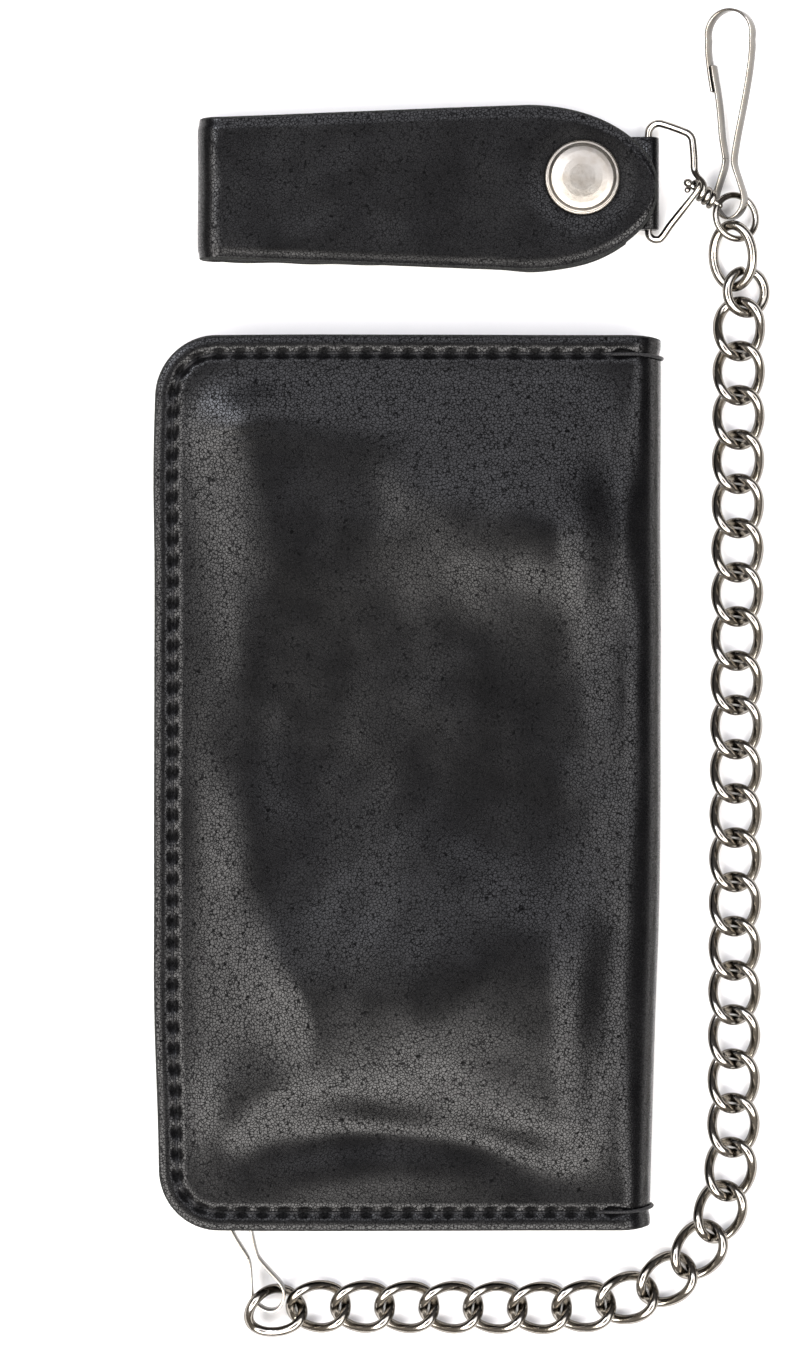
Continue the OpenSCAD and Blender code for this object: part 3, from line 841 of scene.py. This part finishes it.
def add_wallet_threads(thread):
    back, front = [], []
    for a, b in zip(HOLES, HOLES[1:]):
        back.append(stitch(a, b, back_relief, WALLET_T, 1))
        front.append(stitch(a, b, front_relief, 0.4, -1))
    make_piece("back_cover_thread", back, [thread], "back_half")
    make_piece("front_cover_thread", front, [thread], "front_half")
    for name, end in (("top", 1), ("bottom", -1)):
        angles = fan(112, -35, 26)
        y = end * (HALF_H - SEAM_INSET - 0.15 - 0.5 * smooth_step(1.4, 0.2, angles))
        arch = np.sin(np.linspace(0.0, pi, 26)) ** 0.5
        lift = SPINE_R + 0.36 * np.clip(np.sin(angles), 0, 1) + 0.32 * arch
        path = np.c_[SPINE_X + lift * np.cos(angles), y, SPINE_R + lift * np.sin(angles)]
        path[0, 2] -= 0.9
        path[-1, 0] -= 0.5
        piece = make_piece("spine_thread_" + name, [tube(settle(path), 0.36, sides=10)], [thread])
        fold_with_cover(piece)


# ---------- inside of the wallet ----------

def rectangle_grid(low, high, columns, rows):
    x = np.linspace(low[0], high[0], columns)[:, None] + np.zeros(rows)[None]
    y = np.linspace(low[1], high[1], rows)[None] + np.zeros(columns)[:, None]
    return x, y


def add_sheet(name, x, y, top, bottom, bevel, face, edge, body, replaced):
    """Flat leather piece between two grids of heights."""
    outer, inner = (np.stack([x, y, z + 0 * x], -1) for z in (top, bottom))
    make_piece(name, [shell(outer, inner, bevel)], [face, edge, face], body, replaced)


def add_card_panel(lining, edge):
    low, high = box_mm("card_panel")
    bevel = 0.3
    x, y = rectangle_grid(low[:2] + bevel, high[:2] - bevel, 60, 90)
    border = np.minimum(np.minimum(x - low[0], high[0] - x), np.minimum(y - low[1], high[1] - y))
    socket = smooth_step(7.5, 5.6, np.hypot(x - CLOSURE_X, y - CLOSURE_Y))
    top = high[2] - 0.25 * bell(border - 2.5, 0.6) + 0.08 * waves(x, y, 12, 21) - 0.35 * socket
    add_sheet("card_panel_lining", x, y, top, low[2] + 0.02, bevel, lining, edge, "front_half",
              ("card_panel",))


POCKETS = 4
POCKET_STEP = 12
POCKET_GAP = 0.85
POCKET_T = 0.8
POCKET_SEAM_INSET = 1.8
POCKET_PITCH = 3.0
POCKET_STITCH = [(0, -0.1), (0.5, 0.12), (1.1, 0.18), (1.7, 0.12), (2.2, -0.1)]


def pocket_seams(low, high, z):
    """Stitches down both sides of a card pocket."""
    parts = []
    for x in (low[0] + POCKET_SEAM_INSET, high[0] - POCKET_SEAM_INSET):
        for k in range(int((high[1] - low[1] - 2) / POCKET_PITCH)):
            y = low[1] + 2 + k * POCKET_PITCH
            parts.append(tube([(x, y + along, z + rise) for along, rise in POCKET_STITCH], 0.2, sides=6))
    return parts


def add_card_pockets(leather, edge, thread):
    low, high = box_mm("card_pockets")
    bevel = 0.25
    threads = []
    for k in range(POCKETS):
        base = low[2] + POCKET_GAP * k
        top_y = high[1] - POCKET_STEP * k
        x, y = rectangle_grid((low[0] + bevel, low[1] + bevel), (high[0] - bevel, top_y - bevel), 56, 40)
        side = np.minimum(x - low[0], high[0] - x)
        dip = 1.1 * bell(x - (low[0] + high[0]) / 2, 26)
        y = y - dip * smooth_step(low[1], top_y, y)
        hem = bell(top_y - dip - y - 2.0, 0.45)
        seam = bell(side - POCKET_SEAM_INSET, 0.5)
        z = base + POCKET_T - 0.2 * seam - 0.16 * hem + 0.05 * waves(x, y, 14, 30 + k)
        add_sheet(f"card_pocket_{k + 1}", x, y, z, base + 0.02, bevel, leather, edge, "front_half",
                  () if k else ("card_pockets",))
        strip_low = (low[0], low[1] if k == POCKETS - 1 else top_y - POCKET_STEP)
        threads += pocket_seams(strip_low, (high[0], top_y - 1), base + POCKET_T)
    make_piece("card_pocket_thread", threads, [thread], "front_half")


CUT_Y = -61.2
CUT_X = (-27.5, -21)
RIM_Z = 12.7


def add_bill_pocket(lining, edge):
    """Bill compartment: a panel sunk between the rims that are sewn to the back cover. It is cut away
    where the anchor is."""
    low, high = box_mm("bill_pocket")
    bevel, r = 0.3, 10
    left, round_r = low[0] + bevel, r - bevel
    turn = fan(0, 90, 15)
    xs = np.r_[left + round_r * (1 - np.cos(turn)), np.linspace(low[0] + r, high[0] - bevel, 66)[1:]]
    round_end = np.arccos(np.clip(1 - (xs - left) / round_r, -1, 1))
    top = high[1] - r + round_r * np.sin(np.clip(round_end, 0, pi / 2))
    bottom = CUT_Y + (low[1] + bevel - CUT_Y) * smooth_step(*CUT_X, xs)
    v = np.linspace(0, 1, 120)[None]
    x = xs[:, None] + 0 * v
    y = bottom[:, None] + (top - bottom)[:, None] * v
    inset = np.minimum(np.minimum(x - low[0], high[1] - np.abs(y)), y - bottom[:, None] + bevel)
    corner = (x < low[0] + r) & (y > high[1] - r)
    inset = np.where(corner, r - np.hypot(x - low[0] - r, y - high[1] + r), inset)
    sunk = smooth_step(0.2, 3.2, inset)
    z = RIM_Z - (RIM_Z - low[2] - 0.06) * sunk
    add_sheet("bill_pocket_lining", x, y, z + 0.05 * waves(x, y, 16, 41) * sunk,
              np.minimum(z + 0.9, RIM_Z + 0.08), bevel, lining, edge, "back_half", ("bill_pocket",))


# ---------- snap closures ----------

def add_closures(nickel):
    cap = [(0, 0), (4.2, 0.04), (5.6, 0.3), (6.3, 0.9), (6.3, 1.5), (1.6, 1.5), (1.6, 3.3), (0, 3.3)]
    socket = [(1.7, 0), (5.2, 0), (5.2, 0.8), (4.0, 3.2), (2.8, 3.2), (2.8, 1.2), (1.7, 1.2)]
    stud = [(0, -3.6), (1.9, -3.6), (2.6, -2.9), (2.6, -2.3), (2.1, -1.6), (2.1, -0.9), (5, -0.9), (5, 0),
            (1.3, 0), (1.3, -2.6), (0, -2.6)]
    post = [(0, -2.5), (1.2, -2.5), (1.2, 1.0), (4.5, 1.0), (4.2, 1.7), (0, 1.75)]
    stud_z = box_mm("bill_pocket")[0][2]
    for node, profile, z, body in (("closure_caps", cap, 0, "front_half"),
                                   ("closure_sockets", socket, COVER_T, "front_half"),
                                   ("closure_studs", stud, stud_z, "back_half"),
                                   ("closure_posts", post, stud_z, "back_half")):
        parts = [lathe(profile, (CLOSURE_X, side * CLOSURE_Y, z)) for side in (-1, 1)]
        add_nickel(node, parts, nickel, body)


# ---------- belt strap ----------

STRAP_LOW, STRAP_HIGH = box_mm("strap_front")
STRAP_Y = (STRAP_LOW[1] + STRAP_HIGH[1]) / 2
STRAP_T = box_mm("strap_back")[1][2]
STRAP_H = STRAP_HIGH[2]
STRAP_FOLD_R = STRAP_H / 2
STRAP_FOLD_X = STRAP_LOW[0] + STRAP_FOLD_R
STRAP_WIDE_X = 24
STRAP_TIP_L = STRAP_HIGH[0] - STRAP_WIDE_X
STRAP_HALF_TIP = (STRAP_HIGH[1] - STRAP_LOW[1]) / 2
STRAP_HALF_FOLD = 14.2
STRAP_ROWS = 70
STRAP_BACK_X = box_mm("strap_back")[1][0]
SNAP_X, SNAP_Y = (box_mm("snap_cap")[0][:2] + box_mm("snap_cap")[1][:2]) / 2
CAP_R = (box_mm("snap_cap")[1][0] - box_mm("snap_cap")[0][0]) / 2


def strap_half_width(x):
    """Half width of the strap: it widens to the snap end, then closes in a round tip."""
    straight = STRAP_HALF_FOLD + (STRAP_HALF_TIP - STRAP_HALF_FOLD) * np.clip(
        (x - STRAP_FOLD_X) / (STRAP_WIDE_X - STRAP_FOLD_X), 0, 1)
    f = np.clip((x - STRAP_WIDE_X) / STRAP_TIP_L, 0, 1)
    return np.where(x > STRAP_WIDE_X, STRAP_HALF_TIP * np.sqrt(1 - f ** 2), straight)


def strap_columns():
    """Outer point (x, z), outward direction and half width, from the lower end round the fold to the tip."""
    columns = []

    def add(x, z, nx, nz):
        columns.append((x, z, nx, nz, float(strap_half_width(np.array(x))) - EDGE_BEVEL))

    low_end = acos((STRAP_BACK_X - EDGE_BEVEL - STRAP_WIDE_X) / STRAP_TIP_L)
    for f in np.linspace(low_end, pi / 2, 20):
        add(STRAP_WIDE_X + STRAP_TIP_L * cos(f), 0, 0, -1)
    for x in np.linspace(STRAP_WIDE_X, STRAP_FOLD_X, 60)[1:]:
        add(x, 0, 0, -1)
    for a in fan(-90, -270, 25)[1:]:
        out_x, up = cos(a), sin(a)
        add(STRAP_FOLD_X + STRAP_FOLD_R * out_x, STRAP_FOLD_R + STRAP_FOLD_R * up, out_x, up)
    for x in np.linspace(STRAP_FOLD_X, STRAP_WIDE_X, 90)[1:]:
        add(x, STRAP_H, 0, 1)
    for f in np.linspace(pi / 2, 0.09, 46)[1:]:
        add(STRAP_WIDE_X + (STRAP_TIP_L - EDGE_BEVEL) * cos(f), STRAP_H, 0, 1)
    return np.array(columns)


def add_strap_leather(leather, edge, lining):
    columns = strap_columns()
    crowded = pi / 2 * 0.8
    flat, normal = sweep_grid(columns, np.sin(np.linspace(-1, 1, STRAP_ROWS) * crowded) / sin(crowded))
    x, y, up = flat[..., 0], flat[..., 1].copy(), normal[..., 2]
    flat[..., 1] += STRAP_Y
    border = columns[:, 4:5] - np.abs(y)
    from_snap = np.hypot(x - SNAP_X, y + STRAP_Y - SNAP_Y)
    bow = 0.45 * smooth_step(STRAP_FOLD_X + 4, STRAP_FOLD_X + 34, x) * smooth_step(30, 2, x)
    face = (bow + 0.16 * waves(x, y, 15, 51) + 0.05 * waves(x, y, 5, 52)
            - 0.42 * smooth_step(CAP_R + 4.5, CAP_R - 1, from_snap) - 0.35 * smooth_step(2.2, 0, border))
    fold = 0.12 * waves(y, 6 * up, 7, 53) - 0.3 * smooth_step(2.0, 0, border)
    under = np.minimum(0.05 * waves(x, y, 9, 54) - 0.1 - 0.3 * smooth_step(2.0, 0, border), 0)
    relief = np.where(up > 0.999, face, np.where(up < -0.999, under, fold))
    outer = flat + normal * relief[..., None]
    inner = flat - normal * (STRAP_T - 0.06)
    peek = (0.75 * bell(x - 6, 26) + 0.12 * waves(x, 0 * x, 6, 55)) * (up < -0.999)
    outer[..., 1] += peek
    inner[..., 1] += peek
    piece = make_piece("strap_leather", [shell(outer, inner, EDGE_BEVEL)], [leather, edge, lining],
                       replaced=("strap_back", "strap_front"))
    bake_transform(piece)


def add_ring_tab(leather):
    """Tab folded round the straight leg of the wire ring."""
    low, high = box_mm("ring_tab")
    fold_r = (high[2] - low[2]) / 2
    centre_x, centre_z = high[0] - fold_r, low[2] + fold_r
    turn = fan(-150, 120, 22)
    nose = np.c_[centre_x + fold_r * np.cos(turn), centre_z + fold_r * np.sin(turn)]
    outline = np.concatenate([[(low[0], STRAP_T + 0.03), (centre_x - 5, STRAP_T + 0.03)], nose,
                              [(centre_x - 5, STRAP_T + 1.97), (low[0], STRAP_T + 1.97)]])
    outline = soften(outline, 0.5, 3, closed=True)
    make_piece("ring_tab_leather", [upright_slab(outline, low[1], high[1], 0.3)], [leather], "strap_lower",
               ("ring_tab",))


def add_snap(nickel, brushed):
    rim = [(0.2, -0.15), (0, 0.1), (0.02, 0.42), (0.35, 0.62), (0.62, 0.6), (0.9, 0.78)]
    dome = ([(0, -2.6), (1.6, -2.6), (1.6, -0.1)] + [(CAP_R - inset, z) for inset, z in rim]
            + [(6.2, 1.1), (5.2, 1.38), (4.0, 1.6), (2.6, 1.74), (1.2, 1.8), (0, 1.81)])
    socket = [(1.7, 0), (5.2, 0), (5.2, -0.6), (4.0, -2.3), (2.8, -2.3), (2.8, -0.7), (1.7, -0.7)]
    stud = [(1.7, 0), (5, 0), (5, 0.6), (2.1, 0.6), (2.1, 0.9), (2.6, 1.4), (2.6, 1.8), (2, 2.3), (1.7, 2.3)]
    post = [(0, 0), (4.2, 0), (4.9, 0.2), (4.9, 0.8), (1.6, 0.8), (1.6, 6.2), (0, 6.2)]
    for node, profile, z, body in (("snap_cap", dome, STRAP_H, "strap_upper"),
                                   ("snap_socket", socket, STRAP_H - STRAP_T, "strap_upper"),
                                   ("snap_stud", stud, 4, "strap_lower"),
                                   ("snap_post", post, 0, "strap_lower")):
        on_top = node == "snap_cap"
        part = lathe(profile, (SNAP_X, SNAP_Y, z), 0.1, 128 if on_top else 72)
        add_nickel(node, [part], brushed if on_top else nickel, body)


# ---------- rings ----------

RING_LEAN = 15
RING_LEG = (48.4, 2.7)
RING_WIRE_R = 0.75
RING_MIDDLE_Y = 120.2
RING_HALF = 10.3
SWIVEL_DROP = 15
SWIVEL_HEADING = -33.5
SWIVEL_OUT = 11.6
SWIVEL_Y = 117.6
LOOP_ROLL = -19.5
LOOP_R = 4.5
LOOP_WIRE_R = 0.65
LOOP_NECK = 3.3
COIL_WIRE_R = 0.6
COIL_R = LOOP_WIRE_R + 0.08 + COIL_WIRE_R
HEAD_FROM = -4.8
HEAD_R = 0.85
SMALL_RING_WIRE_R = 1.0
# Place in millimetres, then the heading of the axis that a ring leans about and how far, in degrees.
TOP_RING_AT = (65.3, 105.6, 3.73), -71.3, 30
OPEN_LINK_AT = (68, 98.5, 2.84), 90.6, 25
BEND_UP = [(59.3, 119.3, 7), (58.9, 120.3, 6.5), (58.1, 121.3, 5.9)]
BEND_DOWN = [(52.6, 111.6, 4.4), (55, 114.6, 5.9), (57.2, 117.4, 7.2)]


def on_ring(p):
    """A place in the wire ring's own leaning plane, from its X and Y."""
    return (p[0], p[1], RING_LEG[1] + (p[0] - RING_LEG[0]) * tan(radians(RING_LEAN)))


SWIVEL = np.array(on_ring((RING_LEG[0] + SWIVEL_OUT * cos(radians(RING_LEAN)), SWIVEL_Y)))
TURN_TO_SHANK = (rotation(SWIVEL_HEADING, "Z")
                 @ rotation(SWIVEL_DROP, "Y"))
SHANK_U = np.array(TURN_TO_SHANK @ Vector((1, 0, 0)))
SHANK_V = np.array(TURN_TO_SHANK @ Vector((0, 1, 0)))
SHANK_W = np.array(TURN_TO_SHANK @ Vector((0, 0, 1)))


def coil_turns(along_from, along_to, angle_from, angle_to):
    steps = ceil(abs(angle_to - angle_from) / 15)
    points = []
    for f in np.linspace(0, 1, steps + 1):
        a = radians(angle_from + (angle_to - angle_from) * f)
        points.append(SWIVEL + (along_from + (along_to - along_from) * f) * SHANK_U
                      + COIL_R * (cos(a) * SHANK_V + sin(a) * SHANK_W))
    return points


def arc(centre, r, start, end, steps):
    return [(centre[0] + r * cos(a), centre[1] + r * sin(a))
            for a in fan(start, end, steps + 1)]


def add_wire_ring(nickel):
    top, bottom = RING_MIDDLE_Y + RING_HALF, RING_MIDDLE_Y - RING_HALF
    leg_x = RING_LEG[0]
    frame_line = ([(57.5, 122.6), (57.4, 125)] + arc((54.9, top - 2.2), 2.2, 5, 65, 4)
                  + arc((leg_x + 2, top - 0.2), 2, 75, 180, 5)
                  + [(leg_x, y) for y in np.arange(top - 3, bottom + 2, -3)]
                  + arc((leg_x + 1.6, bottom + 0.6), 1.6, 180, 300, 5))
    path = (coil_turns(1.8, -1.1, 900, 75) + BEND_UP + [on_ring(p) for p in frame_line] + BEND_DOWN
            + coil_turns(-2.3, -3.5, 90, -150))
    path = np.array(path, float)
    coiled = smooth_step(6, 4, np.linalg.norm(path - SWIVEL, axis=1))
    radius = RING_WIRE_R + (COIL_WIRE_R - RING_WIRE_R) * coiled
    curve = smooth_path(np.c_[path, radius], 3)
    add_nickel("wire_ring", [tube(curve[:, :3], curve[:, 3], 18)], nickel)


def add_swivel_loop(nickel):
    turn = np.linspace(0, 2 * np.pi, 96, endpoint=False)
    eye = np.c_[LOOP_NECK + LOOP_R + LOOP_R * np.cos(turn), LOOP_R * np.sin(turn), 0 * turn]
    shank = smooth_path([(HEAD_FROM + 0.2, 0, 0), (0, 0, 0), (LOOP_NECK + 0.4, 0, 0)], 12)
    head = smooth_path([(HEAD_FROM + 0.35, 0, 0), (HEAD_FROM + 0.5, 0, 0), (HEAD_FROM + 0.62, 0, 0)], 3)
    move = Matrix.Translation(SWIVEL) @ TURN_TO_SHANK @ rotation(LOOP_ROLL, "X")
    parts = [loop(eye, LOOP_WIRE_R, 18), tube(shank, LOOP_WIRE_R, 18), tube(head, HEAD_R, 18)]
    add_nickel("swivel_loop", parts, nickel, matrix=move)


def leaning(place, axis, lean):
    a = radians(axis)
    tilt = Matrix.Rotation(radians(lean), 4, Vector((cos(a), sin(a), 0)))
    return Matrix.Translation(place) @ tilt


def oval(half_x, half_y, turn, twist=0):
    return np.c_[half_x * np.cos(turn), half_y * np.sin(turn), twist * np.sin(2 * turn)]


def add_top_rings(nickel):
    path = oval(4.3, 6.2, np.linspace(0, 2 * np.pi, 120, endpoint=False))
    add_nickel("top_ring", [loop(path, SMALL_RING_WIRE_R, 20)], nickel, matrix=leaning(*TOP_RING_AT))
    steps = np.arange(90)
    path = oval(4.3, 4.3, np.radians(np.linspace(105, 420, len(steps))))
    radius = SMALL_RING_WIRE_R * (0.93 + 0.07 * smooth_step(0, 6, np.minimum(steps, steps[::-1])))
    add_nickel("open_link", [tube(path, radius, 20)], nickel, matrix=leaning(*OPEN_LINK_AT))


# ---------- curb chain ----------

LINKS = 32
LINK_A = 4.3
LINK_B = 5.6
LINK_C = 1.7
LINK_WIRE_R = 1.0
LINK_PITCH = 8.9
END_TURN = 9
END_LIFT = 18
END_ROLL = 3


def link_shape():
    """One twisted curb link lying along Y."""
    path = oval(LINK_A, LINK_B, np.linspace(0, 2 * np.pi, 112, endpoint=False), LINK_C)
    return loop(path, LINK_WIRE_R, 20)


def add_chain(nickel):
    shape = link_shape()
    for i in range(1, LINKS + 1):
        name = f"chain_link_{i:02d}"
        low, high = box_mm(name)
        if i < LINKS:
            centre = (low + high) / 2
            ahead = np.array(JOINTS[f"link_{i:02d}"]["pos_m"]) / MM - centre
            heading = atan2(ahead[1], ahead[0])
            move = Matrix.Translation(centre) @ Matrix.Rotation(heading - pi / 2, 4, "Z")
            last_touch, last_heading = centre + ahead, heading
        else:
            move = (Matrix.Translation(last_touch)
                    @ Matrix.Rotation(last_heading + radians(END_TURN) - pi / 2, 4, "Z")
                    @ rotation(END_LIFT, "X")
                    @ rotation(END_ROLL, "Y")
                    @ Matrix.Translation((0, LINK_PITCH / 2, 0)))
        make_piece(f"curb_link_{i:02d}", [shape], [nickel], name, (name,), matrix=move)


# ---------- spring clips ----------

CLIP_SIDE = [(0, 0), (1.2, 0.35), (2.2, 1.2), (2.9, 2.4), (3.15, 3.6), (3, 4.9), (2.1, 7.6), (1.2, 10.2),
             (0.95, 11.6), (1.1, 13), (1.7, 16.4), (2.6, 20.6), (3.4, 24.4), (4.1, 28.2), (4.65, 32),
             (4.85, 34.6)]
CLIP_TOP = arc((0, 36.95), 4.9, -12, 192, 16)
CLIP_LEFT = [(-x, y) for x, y in CLIP_SIDE[::-1]]
GATE_FROM = 12
GATE_END = 30.8
GATE_INWARD = 0.85
HOOK_END = 25.6
STRIP_T = 0.5
STRIP_W = 2.6
# Place in millimetres, then yaw, pitch and roll in degrees.
CLIPS = {"upper": ((64.8, 113.2, 2.8), 0, 1.6, -29), "lower": ((-26.6, -106, 4.2), 22.7, 5, -5.5)}


def flat_smooth(points, steps=7):
    flat = np.c_[np.array(points, float), np.zeros(len(points))]
    return smooth_path(flat, steps)[:, :2]


def clip_parts():
    lower = [p for p in CLIP_LEFT if p[1] < GATE_FROM]
    upper = [p for p in CLIP_LEFT if p[1] > HOOK_END]
    hook = flat_smooth([(-0.95, GATE_FROM - 0.1)] + lower + CLIP_SIDE[1:] + CLIP_TOP + upper
                       + [(-3.65, HOOK_END)])
    leg = [(x + GATE_INWARD * float(smooth_step(GATE_FROM + 4, GATE_FROM + 12, np.array(y))), y)
           for x, y in CLIP_LEFT[::-1] if GATE_FROM < y < GATE_END]
    gate = flat_smooth([(-0.97, GATE_FROM + 0.15)] + leg + [(-4.5 + GATE_INWARD, GATE_END)])
    return strip(hook, STRIP_W, STRIP_T), strip(gate, STRIP_W, STRIP_T)


def add_clips(steel):
    hook, gate = clip_parts()
    for name, (place, yaw, pitch, roll) in CLIPS.items():
        move = (Matrix.Translation(place) @ rotation(yaw, "Z")
                @ rotation(pitch, "X") @ rotation(roll, "Y"))
        for part, node in ((hook, name + "_clip"), (gate, name + "_clip_gate")):
            make_piece(node + "_strip", [part], [steel], node, (node,), matrix=move)


# ---------- anchor inside the wallet ----------

CLIP_L = 42


def add_anchor(leather, nickel):
    (clip_x, clip_y, _), yaw, pitch, _ = CLIPS["lower"]
    yaw, reach = radians(yaw), CLIP_L * cos(radians(pitch))
    place = (clip_x - reach * sin(yaw), clip_y + reach * cos(yaw), 0)
    move = Matrix.Translation(place) @ Matrix.Rotation(yaw, 4, "Z")
    fold_r, bar_z, top_z, half = 1.8, 4.0, 10.4, 4.4
    turn = fan(70, 290, 20)
    nose = [(fold_r * cos(a), bar_z + fold_r * sin(a)) for a in turn]
    tail = [(10, bar_z - fold_r), (10, bar_z + 0.2), (2.4, bar_z + 0.2)]
    outline = soften(nose + tail, 0.5, 3, closed=True)
    make_piece("anchor_tab_leather", [upright_slab(outline, -3.5, 3.5, 0.3)], [leather], "front_half",
               ("anchor_tab",), matrix=move)
    bow = ([(y, bar_z) for y in (-3, -1, 1, 3)] + arc((half - 1, bar_z + 1), 1, -90, 0, 3)
           + arc((half - 2.4, top_z - 2.4), 2.4, 0, 90, 8) + arc((2.4 - half, top_z - 2.4), 2.4, 90, 180, 8)
           + arc((1 - half, bar_z + 1), 1, 180, 270, 3))
    line = np.array([(0, y, z) for y, z in bow])
    line = smooth_path(np.concatenate([line, line[:1]]), 4)[:-1]
    add_nickel("anchor_ring", [loop(line, 0.7, 16, up=(1, 0, 0))], nickel, matrix=move)


# ---------- build ----------

def build():
    pebble = leather_material("pebble_leather")
    smooth_leather = leather_material("pocket_leather", grain=0.5, depth=0.06, rough=(0.42, 0.55),
                                      strength=0.6)
    lining = leather_material("lining_leather", grain=0.4, depth=0.05, crease_painted_shade=(0.006, 0.006, 0.007),
                              top=(0.022, 0.022, 0.025), rough=(0.5, 0.65), strength=0.5)
    edge = edge_material()
    thread = thread_material()
    nickel = metal_material("nickel_plate")
    brushed = metal_material("cap_nickel", (0.31, 0.28, 0.24), (0.42, 0.40, 0.37), (0.30, 0.38))
    steel = metal_material("spring_strip", (0.31, 0.28, 0.24), (0.41, 0.395, 0.365), (0.12, 0.24),
                           flank_painted_shade=(0.065, 0.058, 0.048))
    add_wallet_leather(pebble, edge, lining)
    add_wallet_threads(thread)
    add_card_panel(lining, edge)
    add_card_pockets(smooth_leather, edge, thread)
    add_bill_pocket(lining, edge)
    add_closures(nickel)
    add_strap_leather(pebble, edge, lining)
    add_ring_tab(pebble)
    add_snap(nickel, brushed)
    add_wire_ring(nickel)
    add_swivel_loop(nickel)
    add_top_rings(nickel)
    add_chain(nickel)
    add_clips(steel)
    add_anchor(smooth_leather, nickel)


set_stage()
build()
